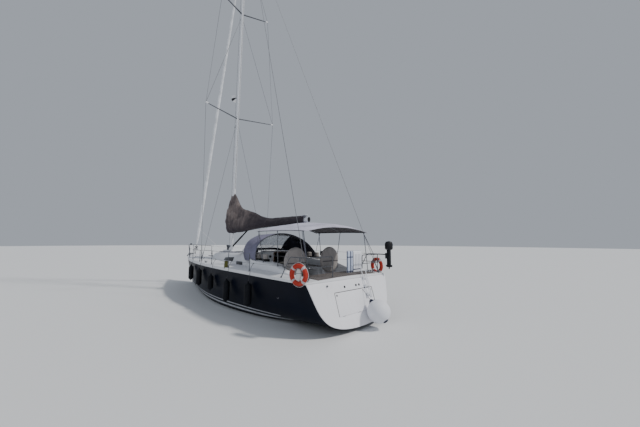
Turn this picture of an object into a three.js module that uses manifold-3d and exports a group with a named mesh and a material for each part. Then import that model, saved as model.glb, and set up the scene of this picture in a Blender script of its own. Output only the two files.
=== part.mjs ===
// Sailing yacht afloat, with furled sails. Millimetres, +X to the bow, +Y to port, +Z up.
// Lengths along the boat are given from the transom's top edge, heights from the waterline.
// One group moves the whole boat so that the origin lies on the waterline amidships.
import * as THREE from 'three';
import { mergeVertices } from 'three/addons/utils/BufferGeometryUtils.js';
import Module from 'manifold-3d';

const wasm = await Module();
wasm.setup();

// Driving dimensions
const AMIDSHIPS = 7100;
const LENGTH = 14200;
const GAP = 0.3;
const RUNNING_GAP = 6;
const WELD = 0.01;
const LONGEST_FACE = 4000;
const SHORTEST_EDGE = 0.05;

// Hull lines by station, interpolated between the rows
// columns: from stern, half beam, sheer, keel line, topside tuck, topside reach, bottom fullness
const HULL_LINES = [
  [0, 1980, 1530, 140, 0.84, 0.62, 0.9],
  [1400, 2060, 1550, 20, 0.9, 0.62, 0.9],
  [3600, 2120, 1580, -360, 0.96, 0.72, 0.72],
  [5600, 2140, 1610, -530, 0.98, 0.74, 0.66],
  [7400, 2040, 1640, -580, 0.95, 0.74, 0.55],
  [9200, 1755, 1660, -540, 0.885, 0.72, 0.425],
  [10800, 1350, 1680, -460, 0.81, 0.7, 0.315],
  [12200, 880, 1700, -340, 0.73, 0.66, 0.23],
  [13300, 465, 1715, -200, 0.64, 0.6, 0.17],
  [14000, 170, 1725, -80, 0.56, 0.55, 0.14],
  [LENGTH, 45, 1730, -20, 0.7, 0.5, 0.4],
];
const HULL_STATIONS = 20;
const HALF_GIRTH_POINTS = 7;
const TRANSOM_SLOPE = 500 / 1565;
const TRANSOM_BLEND = 1400;
const STEM_START = 12200;
const STEM_RAKE = 210;

// Deck
const BAND_AFT = 40;
const BAND = 120;
const BAND_RISE = 2200;
const DECK_LIP = 18;
const CAMBER = 60;

// Cockpit
const SOLE = 1120;
const HELM_AFT = 760;
const HELM_FORE = 2200;
const HELM_HALF = 1400;
const WELL_FORE = 3900;
const WELL_HALF = 620;
const TEAK = 14;

// Cabin
const CABIN_AFT = 3900;
const ROOF_AFT_Z = 2300;
const ROOF_SLOPE = 0.04;
const ROOF_WALL = 45;
const COMPANION_HALF = 320;

// Mast, with the rake as run aft for each unit of height
const MAST_X = 8373;
const MAST_DATUM_Z = 2000;
const MAST_RAKE = 0.026;
const MASTHEAD_Z = 21200;
const MAST_HALF = 130;
const MAST_HALF_WIDTH = 80;

// Boom
const GOOSENECK_Z = 3450;
const GOOSENECK_AFT = 215;
const BOOM_END_X = 2080;
const BOOM_END_Z = 3600;
const BOOM_HALF = 100;
const BOOM_HALF_WIDTH = 65;

const V = (x, y, z) => new THREE.Vector3(x, y, z);
const mastX = (z) => MAST_X - (z - MAST_DATUM_Z) * MAST_RAKE;

// Closed mesh to solid, with doubled points joined
function solid(geometry) {
  const bare = geometry.clone();
  bare.deleteAttribute('normal');
  bare.deleteAttribute('uv');
  const merged = mergeVertices(bare, WELD);
  const corners = merged.index.array;
  const kept = [];
  for (let i = 0; i < corners.length; i += 3) {
    const [a, b, c] = [corners[i], corners[i + 1], corners[i + 2]];
    if (a !== b && b !== c && c !== a) kept.push(a, b, c);
  }
  return new wasm.Manifold(new wasm.Mesh({
    numProp: 3,
    vertProperties: new Float32Array(merged.attributes.position.array),
    triVerts: new Uint32Array(kept),
  }));
}

const joined = (solids) => solids.reduce((whole, piece) => whole.add(piece));
const without = (whole, ...cuts) => cuts.reduce((rest, cut) => rest.subtract(cut), whole);

function block(x0, x1, y0, y1, z0, z1) {
  const geometry = new THREE.BoxGeometry(x1 - x0, y1 - y0, z1 - z0);
  geometry.translate((x0 + x1) / 2, (y0 + y1) / 2, (z0 + z1) / 2);
  return solid(geometry);
}

function rod(from, to, radius, sides = 8, radiusAtEnd = radius) {
  const along = to.clone().sub(from);
  const steps = Math.ceil(along.length() / LONGEST_FACE);
  const geometry = new THREE.CylinderGeometry(radiusAtEnd, radius, along.length(), sides, steps);
  geometry.applyQuaternion(
    new THREE.Quaternion().setFromUnitVectors(V(0, 1, 0), along.clone().normalize()));
  geometry.translate((from.x + to.x) / 2, (from.y + to.y) / 2, (from.z + to.z) / 2);
  return solid(geometry);
}

// Rods end to end, each run on a little past its bends
function bentRod(points, radius, sides = 8) {
  const rods = [];
  for (let i = 1; i < points.length; i += 1) {
    const along = points[i].clone().sub(points[i - 1]).normalize().multiplyScalar(radius * 0.7);
    const start = i === 1 ? points[0] : points[i - 1].clone().sub(along);
    const end = i === points.length - 1 ? points[i] : points[i].clone().add(along);
    rods.push(rod(start, end, radius, sides));
  }
  return joined(rods);
}

function ball(centre, radius, sides = 12) {
  const geometry = new THREE.SphereGeometry(radius, sides, Math.max(6, sides / 2));
  geometry.translate(centre.x, centre.y, centre.z);
  return solid(geometry);
}

// Turned solid about an axis through a centre, from [along, radius] points
function turned(profile, centre, direction, sides = 20) {
  const geometry = new THREE.LatheGeometry(
    profile.map(([along, radius]) => new THREE.Vector2(radius, along)), sides);
  geometry.applyQuaternion(
    new THREE.Quaternion().setFromUnitVectors(V(0, 1, 0), direction.clone().normalize()));
  geometry.translate(centre.x, centre.y, centre.z);
  return outward(geometry);
}

// Prism from an outline of lengths and heights, pushed across the boat from low to high
function prism(outline, low, high) {
  const shape = new THREE.Shape(outline.map(([u, v]) => new THREE.Vector2(u, v)));
  const geometry = new THREE.ExtrudeGeometry(shape, { depth: high - low, bevelEnabled: false });
  geometry.translate(0, 0, low);
  geometry.applyMatrix4(new THREE.Matrix4().set(1, 0, 0, 0, 0, 0, 1, 0, 0, 1, 0, 0, 0, 0, 0, 1));
  return outward(geometry);
}

// Solid with its faces turned outwards, whichever way its mesh was wound
function outward(geometry) {
  const position = geometry.attributes.position;
  const order = geometry.index ? geometry.index.array : [...Array(position.count).keys()];
  let volume = 0;
  const [a, b, c] = [V(0, 0, 0), V(0, 0, 0), V(0, 0, 0)];
  for (let i = 0; i < order.length; i += 3) {
    a.fromBufferAttribute(position, order[i]);
    b.fromBufferAttribute(position, order[i + 1]);
    c.fromBufferAttribute(position, order[i + 2]);
    volume += a.dot(b.cross(c));
  }
  const turnedOrder = [...order];
  if (volume < 0) {
    for (let i = 0; i < turnedOrder.length; i += 3) {
      [turnedOrder[i + 1], turnedOrder[i + 2]] = [turnedOrder[i + 2], turnedOrder[i + 1]];
    }
  }
  geometry.setIndex(turnedOrder);
  return solid(geometry);
}

// Closed solid through rings of equally many points. The ends are fans about their middle,
// or for a bent sheet, whose ring runs out along one side and back along the other, strips.
function loft(rings, sheet = false) {
  const count = rings[0].length;
  const points = rings.flat();
  const faces = [];
  for (let i = 0; i + 1 < rings.length; i += 1) {
    for (let j = 0; j < count; j += 1) {
      const k = (j + 1) % count;
      const [a, b] = [i * count + j, i * count + k];
      faces.push(a, b, b + count, a, b + count, a + count);
    }
  }
  for (const [start, flip] of [[0, true], [(rings.length - 1) * count, false]]) {
    const fan = [];
    if (sheet) {
      for (let j = 0; j < count / 2 - 1; j += 1) {
        const back = count - 1 - j;
        fan.push(start + j, start + j + 1, start + back - 1, start + j, start + back - 1, start + back);
      }
    } else {
      const ring = points.slice(start, start + count);
      const middle = ring.reduce((sum, p) => sum.add(p), V(0, 0, 0)).divideScalar(count);
      const centre = points.push(middle) - 1;
      for (let j = 0; j < count; j += 1) fan.push(centre, start + j, start + ((j + 1) % count));
    }
    for (let j = 0; j < fan.length; j += 3) {
      faces.push(fan[j], fan[flip ? j + 2 : j + 1], fan[flip ? j + 1 : j + 2]);
    }
  }
  const geometry = new THREE.BufferGeometry().setFromPoints(points);
  geometry.setIndex(faces);
  return outward(geometry);
}

// Values between the rows of a table whose first column rises
function lines(table) {
  const width = table[0].length - 1;
  const between = new THREE.CubicInterpolant(
    table.map((row) => row[0]), table.flatMap((row) => row.slice(1)), width, new Float32Array(width));
  return (x) => [...between.evaluate(x)];
}

const yacht = new THREE.Group();
yacht.position.x = -AMIDSHIPS;

// One named mesh with a material of its own
function part(name, body, colour, roughness, metalness = 0) {
  const data = body.simplify(SHORTEST_EDGE).getMesh();
  const geometry = new THREE.BufferGeometry();
  geometry.setAttribute('position', new THREE.BufferAttribute(new Float32Array(data.vertProperties), 3));
  geometry.setIndex(new THREE.BufferAttribute(new Uint32Array(data.triVerts), 1));
  const mesh = new THREE.Mesh(
    geometry, new THREE.MeshStandardMaterial({ color: colour, roughness, metalness }));
  mesh.name = name;
  yacht.add(mesh);
}

// Hull
const hullLines = lines(HULL_LINES);

function hullPoint(x, t) {
  const [beam, sheer, keel, tuck, reach, fullness] = hullLines(x);
  const s = 1 - t;
  const y = s ** 3 * beam + 3 * s * s * t * beam * tuck + 3 * s * t * t * beam * fullness;
  const knuckle = sheer - reach * (sheer - keel);
  const z = s ** 3 * sheer + 3 * s * s * t * knuckle + (3 * s * t * t + t ** 3) * keel;
  const aft = TRANSOM_SLOPE * (sheer - z) * Math.max(0, 1 - x / TRANSOM_BLEND);
  const bow = Math.max(0, (x - STEM_START) / (LENGTH - STEM_START)) ** 1.5;
  return V(x - aft - bow * STEM_RAKE * ((sheer - z) / 1000) ** 1.85, y, z);
}

function hullRing(x, shift = 0) {
  const side = [];
  for (let i = 0; i <= HALF_GIRTH_POINTS; i += 1) side.push(hullPoint(x, i / HALF_GIRTH_POINTS));
  side[HALF_GIRTH_POINTS].y = 0;
  const other = side.slice(0, -1).reverse().map((p) => V(p.x, -p.y, p.z));
  return [...side, ...other].map((p) => V(p.x + shift, p.y, p.z));
}

// Half beam of the hull's skin at a place along the boat and a height
function halfBeam(x, z) {
  const steps = 60;
  for (let i = 1; i <= steps; i += 1) {
    const point = hullPoint(x, i / steps);
    if (point.z <= z) return point.y;
  }
  return 0;
}

const stations = Array.from({ length: HULL_STATIONS + 1 }, (_, i) => (LENGTH * i) / HULL_STATIONS);
const hullBody = loft(stations.map((x) => hullRing(x)));

// Deck, a cambered moulding whose outer band stands a little proud of the hull
const band = (x) => BAND_AFT + (BAND - BAND_AFT) * Math.min(1, x / BAND_RISE) ** 0.8;
const DECK_ACROSS = [1, 0.66, 0.33, 0, -0.33, -0.66, -1];

function deckTop(x, y) {
  const [beam, sheer] = hullLines(x);
  return sheer + band(x) + CAMBER * (1 - (y / (beam + DECK_LIP)) ** 2) * Math.min(1, beam / 1000);
}

function deckLoft(bottom, raise, grow = 0) {
  return loft(stations.map((x) => {
    const [beam, sheer] = hullLines(x);
    const edge = beam + DECK_LIP + grow;
    const under = bottom ?? sheer + GAP;
    const along = x + (x > AMIDSHIPS ? grow : -grow);
    const over = DECK_ACROSS.map((share) => V(along, share * edge, deckTop(x, share * edge) + raise));
    return [V(along, edge, under), ...over, V(along, -edge, under)];
  }));
}

const belowDeck = deckLoft(-3000, GAP, GAP);
const onDeck = (body) => body.subtract(belowDeck);

const cockpit = joined([
  block(HELM_AFT, HELM_FORE, -HELM_HALF, HELM_HALF, SOLE - TEAK, 2600),
  block(HELM_FORE - 1, WELL_FORE, -WELL_HALF, WELL_HALF, SOLE - TEAK, 2600),
]);
const passage = block(WELL_FORE - 1, 4250, -COMPANION_HALF, COMPANION_HALF, 1400, 2600);
const cabin = joined([
  block(4200, 7600, -1050, 1050, -150, 2600),
  block(7599, 9000, -640, 640, -150, 2600),
]);
const foreHatchway = block(10050, 10550, -250, 250, 1200, 2600);

const GARAGE = { back: 480, half: 920, low: 530, high: 1190 };
const garage = block(-900, GARAGE.back, -GARAGE.half, GARAGE.half, GARAGE.low, GARAGE.high);

// Flat stub that carries the keel, and the bores of the rudder stock and the drive leg
const KEEL = { aft: 6450, fore: 8150, top: -640, low: -1950, tipAft: 6750, tipFore: 7950, half: 95 };
const STUB_Z = KEEL.top + GAP;
const foil = (aft, fore, half) => [
  [aft, 0], [aft + (fore - aft) * 0.3, half * 0.62], [aft + (fore - aft) * 0.68, half],
  [aft + (fore - aft) * 0.93, half * 0.62], [fore, 0],
  [aft + (fore - aft) * 0.93, -half * 0.62], [aft + (fore - aft) * 0.68, -half],
  [aft + (fore - aft) * 0.3, -half * 0.62],
];
const foilRing = (aft, fore, half, z) => foil(aft, fore, half).map(([x, y]) => V(x, y, z));
const keelStub = loft([
  foilRing(KEEL.aft, KEEL.fore, KEEL.half, STUB_Z),
  foilRing(KEEL.aft - 60, KEEL.fore + 60, KEEL.half + 40, -450),
]);

const RUDDER = { x: 1180, top: -150, low: -1880, stock: 45, aft: 380, fore: 130 };
const rudderBore = rod(V(RUDDER.x, 0, -400), V(RUDDER.x, 0, 700), RUDDER.stock + 1, 20);
const DRIVE = { x: 5000, low: -1010 };
const DRIVE_TOP = -386;
const driveBore = block(DRIVE.x - 230, DRIVE.x + 150, -60, 60, -800, DRIVE_TOP + GAP);

part('hull', without(hullBody.add(keelStub), cockpit, passage, cabin, foreHatchway, garage,
  rudderBore, driveBore), '#10141c', 0.25);
part('deck', without(deckLoft(undefined, 0), cockpit, passage, cabin, foreHatchway), '#e8e8e6', 0.45);

// Transom plate on the sloping stern, with the folding bathing platform let into it
const PLATE = 30;
const HINGE_Z = GARAGE.low - 4;
const DOOR = { half: GARAGE.half + 20, low: HINGE_Z, high: GARAGE.high + 10 };
const transomPlate = loft([hullRing(0, -GAP), hullRing(0, -GAP - PLATE)]);
const doorHole = (grow) => block(
  -900, 600, -DOOR.half - grow, DOOR.half + grow, DOOR.low - grow, DOOR.high + grow);
part('transom', transomPlate.subtract(doorHole(0)), '#e9e7ea', 0.35);
part('bathing_platform', transomPlate.intersect(doorHole(-RUNNING_GAP)), '#eceaec', 0.35);

// Coachroof, a hollow moulding with its windows, companionway and mast step
// columns: from stern, half width at the deck, half width at the roof, roof height
const ROOF_LINES = [
  [CABIN_AFT, 1330, 1120, ROOF_AFT_Z],
  [5000, 1330, 1120, 2256],
  [6800, 1210, 990, 2195],
  [8400, 980, 740, 2160],
  [9100, 800, 560, 2110],
  [9650, 590, 370, 1970],
  [9950, 420, 250, 1800],
];

function roofRing([x, wide, narrow, top], inset) {
  const [deckSide, roofSide, roof] = [wide - inset, narrow - inset, top - inset];
  const side = [
    V(x, deckSide, 1480), V(x, deckSide, 1760), V(x, roofSide + 45, roof - 75),
    V(x, roofSide - 35, roof - 15), V(x, roofSide * 0.42, roof),
  ];
  return [...side, ...side.slice().reverse().map((p) => V(p.x, -p.y, p.z))];
}

const roofOuter = loft(ROOF_LINES.map((row) => roofRing(row, 0)));
const innerLines = ROOF_LINES.map((row, i) => {
  const along = i === 0 ? row[0] + ROOF_WALL : row[0] - (i === ROOF_LINES.length - 1 ? 90 : 0);
  return [along, ...row.slice(1)];
});
const roofInner = loft(innerLines.map((row) => roofRing(row, ROOF_WALL)));
const companionTop = block(CABIN_AFT - 50, 4700, -COMPANION_HALF, COMPANION_HALF, 1720, 2600);
const roofTop = (x) => ROOF_AFT_Z - ROOF_SLOPE * (x - CABIN_AFT);
const RAIL_HALF = 390;
const hatchRails = joined([-1, 1].map((side) => loft([3930, 5650].map((x) => [
  V(x, side * (RAIL_HALF - 12), roofTop(x) - 20), V(x, side * (RAIL_HALF + 12), roofTop(x) - 20),
  V(x, side * (RAIL_HALF + 12), roofTop(x) + 14), V(x, side * (RAIL_HALF - 12), roofTop(x) + 14),
]))));
const STEP = { half: 190, halfWidth: 130, low: 2090, top: 2180 };
const mastStep = block(
  mastX(STEP.top) - STEP.half, mastX(STEP.top) + STEP.half,
  -STEP.halfWidth, STEP.halfWidth, STEP.low, STEP.top);
const roofShell = onDeck(without(roofOuter.subtract(roofInner), companionTop));

const WINDOW = { aft: 5780, fore: 6830, aftLow: 1850, aftHigh: 2035, foreLow: 1860, foreHigh: 1985 };
function windowHole(side, shrink) {
  const outline = [
    [WINDOW.aft + shrink, WINDOW.aftLow + shrink], [WINDOW.fore - shrink, WINDOW.foreLow + shrink],
    [WINDOW.fore - 90 - shrink, WINDOW.foreHigh - shrink], [WINDOW.aft + shrink, WINDOW.aftHigh - shrink],
  ];
  return side > 0 ? prism(outline, 700, 1500) : prism(outline, -1500, -700);
}
part('coachroof', without(roofShell, windowHole(1, 0), windowHole(-1, 0))
  .add(hatchRails).add(mastStep), '#efeff0', 0.4);
part('window_port', roofShell.intersect(windowHole(1, GAP)), '#15171b', 0.1);
part('window_starboard', roofShell.intersect(windowHole(-1, GAP)), '#15171b', 0.1);

const hatchSlab = loft([3860, 4820].map((x) => [
  V(x, 415, roofTop(x) + 14.5), V(x, 415, roofTop(x) + 40), V(x, 360, roofTop(x) + 56),
  V(x, -360, roofTop(x) + 56), V(x, -415, roofTop(x) + 40), V(x, -415, roofTop(x) + 14.5),
]));
part('companion_hatch', hatchSlab, '#f0f0f0', 0.35);
const hatchWay = loft([3840, 5500].map((x) => [
  V(x, 425, roofTop(x) - 40), V(x, 425, roofTop(x) + 64),
  V(x, -425, roofTop(x) + 64), V(x, -425, roofTop(x) - 40),
]));

const FORE_HATCH = { aft: 10000, fore: 10600, half: 300 };
part('fore_hatch', onDeck(block(FORE_HATCH.aft, FORE_HATCH.fore, -FORE_HATCH.half, FORE_HATCH.half,
  1700, deckTop(10300, 0) + 34)), '#2c2f35', 0.25);

// Cockpit coamings
// columns: from stern, top height, half width outside
const COAMING_LINES = [
  [1280, 1720, 1640],
  [1900, 1890, 1660],
  [2300, 1950, 1660],
  [3860, 2080, 1610],
];
const COAMING_INNER = 1080;
for (const [name, side] of [['port', 1], ['starboard', -1]]) {
  const coaming = loft(COAMING_LINES.map(([x, top, outer]) => [
    V(x, side * COAMING_INNER, 1500), V(x, side * (COAMING_INNER + 30), top - 20),
    V(x, side * (COAMING_INNER + 80), top), V(x, side * (outer - 170), top),
    V(x, side * (outer - 90), top - 40), V(x, side * outer, 1500),
  ]));
  const helmCut = block(HELM_AFT, HELM_FORE, -HELM_HALF - 4, HELM_HALF + 4, 1000, 2300);
  part(`coaming_${name}`, onDeck(coaming).subtract(helmCut), '#f1f1f2', 0.4);
}

// Teak on the cockpit sole, the seats and the aft deck
const soleTeak = joined([
  block(HELM_AFT + 6, HELM_FORE - 6, -HELM_HALF + 6, HELM_HALF - 6, SOLE - TEAK + GAP, SOLE),
  block(HELM_FORE - 8, WELL_FORE - 6, -WELL_HALF + 6, WELL_HALF - 6, SOLE - TEAK + GAP, SOLE),
]);
part('teak_sole', soleTeak, '#8d8378', 0.8);
const SEAT_AFT = HELM_FORE + 40;
const teakTop = deckLoft(1400, TEAK);
for (const [name, side] of [['port', 1], ['starboard', -1]]) {
  const seat = block(SEAT_AFT, 3860, ...[side * 640, side * 1060].sort((a, b) => a - b), 1500, 1800);
  part(`teak_seat_${name}`, onDeck(teakTop.intersect(seat)), '#8d8378', 0.8);
}
const aftDeck = teakTop.intersect(block(45, HELM_AFT - 40, -1440, 1440, 1500, 1800));
const gateHoles = [1, -1].map((side) =>
  rod(V(110, side * 760, 1400), V(110, side * 760, 1900), 15 + GAP, 16));
part('teak_aft_deck', onDeck(without(aftDeck, ...gateHoles)), '#8d8378', 0.8);

// Keel with its bulb
const keelFin = loft([
  foilRing(KEEL.tipAft, KEEL.tipFore, KEEL.half * 0.8, KEEL.low),
  foilRing(KEEL.aft, KEEL.fore, KEEL.half, KEEL.top),
]);
const BULB = [[-1250, 0], [-900, 90], [-300, 190], [350, 215], [800, 170], [1050, 90], [1120, 0]];
const bulb = turned(BULB, V(7250, 0, -1960), V(1, 0, 0), 14);
part('keel', keelFin.add(bulb), '#1b2029', 0.6);

// Rudder on its stock
const rudderRing = (aft, fore, half, z) => foil(RUDDER.x - aft, RUDDER.x + fore, half)
  .map(([x, y]) => V(x, y, z));
const rudderBlade = loft([
  rudderRing(250, 110, 32, RUDDER.low), rudderRing(RUDDER.aft, RUDDER.fore, 52, RUDDER.top),
]);
const stock = rod(V(RUDDER.x, 0, -700), V(RUDDER.x, 0, 660), RUDDER.stock, 20);
part('rudder', rudderBlade.add(stock), '#1b2029', 0.6);

// Drive leg and propeller under the hull
const legTop = loft([
  foil(DRIVE.x - 200, DRIVE.x + 120, 45).map(([x, y]) => V(x, y, DRIVE.low)),
  foil(DRIVE.x - 210, DRIVE.x + 130, 52).map(([x, y]) => V(x, y, DRIVE_TOP)),
]);
const SHAFT_Z = -960;
const gearcase = turned([[-250, 0], [-250, 48], [60, 62], [200, 44], [240, 0]],
  V(DRIVE.x, 0, SHAFT_Z), V(1, 0, 0), 14);
part('drive_leg', legTop.add(gearcase), '#9aa0a4', 0.5, 0.3);

const hubX = DRIVE.x - 250 - GAP;
const hub = turned([[-150, 0], [-140, 28], [0, 46], [0, 0]], V(hubX, 0, SHAFT_Z), V(1, 0, 0), 14);
const blades = [0, 1, 2].map((i) => {
  const blade = new THREE.CylinderGeometry(1, 1, 12, 12);
  blade.scale(105, 1, 70);
  blade.rotateX(Math.PI / 2);
  blade.rotateY(Math.PI / 2);
  blade.translate(0, 0, 130);
  blade.rotateZ(0.5);
  blade.rotateX((i * 2 * Math.PI) / 3);
  blade.translate(hubX - 70, 0, SHAFT_Z);
  return solid(blade);
});
part('propeller', joined([hub, ...blades]), '#a98a4a', 0.35, 0.9);

// Steering pedestals, wheels and the bags that cover the wheels
const BAG_DEPTH = 54;
const HELM = { y: 870, wheelX: 1820, wheelZ: 2040, radius: 440, tube: 17, pedestalX: 2050 };
for (const [name, side] of [['port', 1], ['starboard', -1]]) {
  const y = side * HELM.y;
  const pedestal = loft([
    [SOLE + GAP, 120, 110], [1900, 85, 100], [2060, 70, 90], [2130, 40, 60],
  ].map(([z, halfLong, halfWide]) => [
    V(HELM.pedestalX - halfLong, y - halfWide, z), V(HELM.pedestalX + halfLong, y - halfWide, z),
    V(HELM.pedestalX + halfLong, y + halfWide, z), V(HELM.pedestalX - halfLong, y + halfWide, z),
  ]));
  const shaftEnd = HELM.wheelX + 45;
  const shaft = rod(V(shaftEnd, y, HELM.wheelZ), V(HELM.pedestalX, y, HELM.wheelZ), 24, 12);
  part(`pedestal_${name}`, pedestal.add(shaft), '#d9d9da', 0.4);

  const rim = new THREE.TorusGeometry(HELM.radius, HELM.tube, 5, 24);
  rim.rotateY(Math.PI / 2);
  rim.translate(HELM.wheelX, y, HELM.wheelZ);
  const spokes = [0, 1, 2, 3, 4].map((i) => {
    const turn = (i * 2 * Math.PI) / 5 + Math.PI / 2;
    return rod(V(HELM.wheelX, y, HELM.wheelZ), V(HELM.wheelX, y + Math.cos(turn) * HELM.radius,
      HELM.wheelZ + Math.sin(turn) * HELM.radius), 9, 5);
  });
  const wheelHub = rod(
    V(HELM.wheelX - BAG_DEPTH + GAP, y, HELM.wheelZ), V(shaftEnd - GAP, y, HELM.wheelZ), 42, 14);
  part(`wheel_${name}`, joined([solid(rim), wheelHub, ...spokes]), '#c9cdd0', 0.25, 0.9);

  // Bag around the rim, closed aft and open towards the pedestal
  const bag = turned([
    [-62, 0], [-62, 420], [-40, 478], [0, 500], [42, 478], [58, 400], [52, 400], [34, 470],
    [0, 490], [-34, 470], [-BAG_DEPTH, 416], [-BAG_DEPTH, 0],
  ], V(HELM.wheelX, y, HELM.wheelZ), V(1, 0, 0), 24);
  part(`wheel_cover_${name}`, bag, '#b9b3a8', 0.9);
}

// Winches with their covers, on a plinth on each coaming
for (const [name, side] of [['port', 1], ['starboard', -1]]) {
  const y = side * 1330;
  const plinth = block(2860, 3660, y - 90, y + 90, 1940, 2090);
  const drums = [3020, 3510].map((x) => turned(
    [[0, 0], [0, 108], [70, 92], [150, 108], [170, 70], [176, 0]], V(x, y, 2084), V(0, 0, 1), 14));
  const coamingTop = loft(COAMING_LINES.slice(1).map(([x, top]) => [
    V(x, y - 300, 1500), V(x, y - 300, top + GAP), V(x, y + 300, top + GAP), V(x, y + 300, 1500)]));
  part(`winches_${name}`, joined([plinth.subtract(coamingTop), ...drums]), '#1a1b1e', 0.8);
}

// Cockpit table with its cover
const tableTop = joined([
  block(2450, 3550, -300, 300, 1840, 1900), block(2500, 3500, -90, 90, SOLE + GAP, 1850)]);
part('cockpit_table', tableTop, '#c4baa8', 0.85);

// Mast, its spreaders passing through it
const MAST_FOOT_Z = STEP.top + GAP;
function mastTube(grow, from, to) {
  const tube = new THREE.CylinderGeometry(1, 1, to - from, 20);
  tube.scale(MAST_HALF + grow, 1, MAST_HALF_WIDTH + grow);
  tube.rotateX(Math.PI / 2);
  tube.translate(0, 0, (from + to) / 2);
  tube.applyMatrix4(new THREE.Matrix4().makeShear(0, 0, 0, 0, -MAST_RAKE, 0));
  tube.translate(MAST_X + MAST_DATUM_Z * MAST_RAKE, 0, 0);
  return solid(tube);
}
const mastGrown = mastTube(GAP, 1500, MASTHEAD_Z + 500);

// columns: name, root height, tip from stern, tip half span, tip height
const SPREADERS = [
  ['lower_spreaders', 9590, 7630, 2000, 9670],
  ['upper_spreaders', 15820, 7540, 1420, 15890],
];
function spreaderPair([, rootZ, tipX, tipY, tipZ], grow) {
  const rootX = mastX(rootZ) - 30;
  const arms = [-1, 1].map((side) => {
    const arm = rod(V(0, 0, 0), V(0, 1, 0), 1, 10, 0.6);
    const reach = V(tipX - rootX, side * tipY, tipZ - rootZ);
    const turn = new THREE.Matrix4().makeBasis(
      V(55 + grow, 0, 0), reach, V(0, 0, 26 + grow));
    turn.setPosition(rootX, 0, rootZ);
    return arm.transform(turn.elements);
  });
  return joined(arms);
}
const spreaders = SPREADERS.map((row) => [row[0], spreaderPair(row, 0), spreaderPair(row, GAP)]);

// Gooseneck, on an axis that leans with the mast
const hingeX = (z) => mastX(z) - GOOSENECK_AFT;
const VANG_FOOT_Z = 2500;
const TANG = 34;
// Flat lug on the aft side of the mast, with a round eye on the boom's axis
function mastLug(low, grow) {
  const [from, to] = [low - grow, low + TANG + grow];
  const x = hingeX(low + TANG / 2);
  return block(mastX(low) - 190, mastX(low) - 60, -28 - grow, 28 + grow, from, to)
    .add(rod(V(x, 0, from), V(x, 0, to), 34 + grow, 14));
}
const LUG_Z = GOOSENECK_Z - 160;
const crane = (grow) => block(mastX(MASTHEAD_Z) - 330 - grow, mastX(MASTHEAD_Z) + 190 + grow,
  -45 - grow, 45 + grow, MASTHEAD_Z - 90 - grow, MASTHEAD_Z + 15 + grow);
const mastFittings = joined([mastLug(LUG_Z, 0), mastLug(VANG_FOOT_Z - 100, 0), crane(0)]);
part('mast', without(mastTube(0, MAST_FOOT_Z, MASTHEAD_Z).add(mastFittings),
  ...spreaders.map((row) => row[2])), '#a9aeb2', 0.35, 0.8);
for (const [name, pair] of spreaders) part(name, pair, '#3a3d42', 0.4, 0.3);

// Boom and vang, which swing together about the gooseneck's axis
const boomStart = V(hingeX(GOOSENECK_Z), 0, GOOSENECK_Z);
const boomEnd = V(BOOM_END_X, 0, BOOM_END_Z);
const boomPitch = (BOOM_END_Z - GOOSENECK_Z) / (boomStart.x - BOOM_END_X);
const boomZ = (x) => GOOSENECK_Z + (boomStart.x - x) * boomPitch;
function boomBody(grow, from = boomStart.x - 60) {
  const [high, wide] = [BOOM_HALF + grow, BOOM_HALF_WIDTH + grow];
  const ring = (x) => [0, 1, 2, 3, 4, 5, 6, 7, 8, 9, 10, 11].map((i) => {
    const turn = (i * Math.PI) / 6;
    return V(x, Math.cos(turn) * wide, boomZ(x) + Math.sin(turn) * high);
  });
  return loft([ring(from), ring(BOOM_END_X - (grow ? 400 : 0))]);
}
const onAxis = (z) => V(hingeX(z), 0, z);
const boomKnuckle = rod(onAxis(LUG_Z + TANG + 1), onAxis(GOOSENECK_Z + 60), 32, 14)
  .add(block(boomStart.x - 120, boomStart.x, -24, 24, GOOSENECK_Z - 70, GOOSENECK_Z + 50));
part('boom', boomBody(0).add(boomKnuckle), '#b4b8bb', 0.35, 0.8);

const VANG_X = 6480;
const vangFoot = onAxis(VANG_FOOT_Z);
function vangBody(grow) {
  const top = V(VANG_X, 0, boomZ(VANG_X) - BOOM_HALF + 20 + grow);
  return rod(vangFoot, top, 34 + grow, 10)
    .add(rod(vangFoot, top.clone().lerp(vangFoot, 0.45), 44 + grow, 10));
}
const boomGrownForVang = boomBody(GAP);
const vangKnob = rod(onAxis(VANG_FOOT_Z - 100 + TANG + 1), onAxis(VANG_FOOT_Z + 35), 34, 12);
part('vang', vangBody(0).add(vangKnob).subtract(boomGrownForVang), '#26282c', 0.4, 0.5);

// Sail cover on the boom, its fore end clear of the part that stays on the mast
const NOSE = 42;
const COVER_START = boomStart.x - NOSE;
// columns: from stern, top height, bottom height, half width
const COVER_LINES = [
  [2330, 3750, 3490, 105],
  [4000, 3765, 3425, 140],
  [4800, 3785, 3400, 165],
  [5400, 3900, 3375, 190],
  [5900, 4070, 3345, 210],
  [6620, 4260, 3290, 235],
  [7270, 4450, 3215, 235],
  [7570, 4710, 3200, 225],
  [COVER_START, 5200, 3230, 185],
];
const coverBody = loft(COVER_LINES.map(([x, top, low, half]) => {
  const waist = boomZ(x) - 20;
  // The fore end leans with the axis that the boom swings about
  const point = (y, z) => V(x === COVER_START ? hingeX(z) - NOSE : x, y, z);
  const side = [
    [half * 0.28, top], [half * 0.62, top - (top - waist) * 0.45], [half, waist],
    [half * 0.7, low + (waist - low) * 0.25],
  ];
  return [
    point(0, top + 20), ...side.map(([y, z]) => point(y, z)), point(0, low),
    ...side.slice().reverse().map(([y, z]) => point(-y, z)),
  ];
}));
part('boom_cover', without(coverBody, boomBody(3, COVER_START + 300), vangBody(6)), '#8d8684', 0.9);

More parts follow.
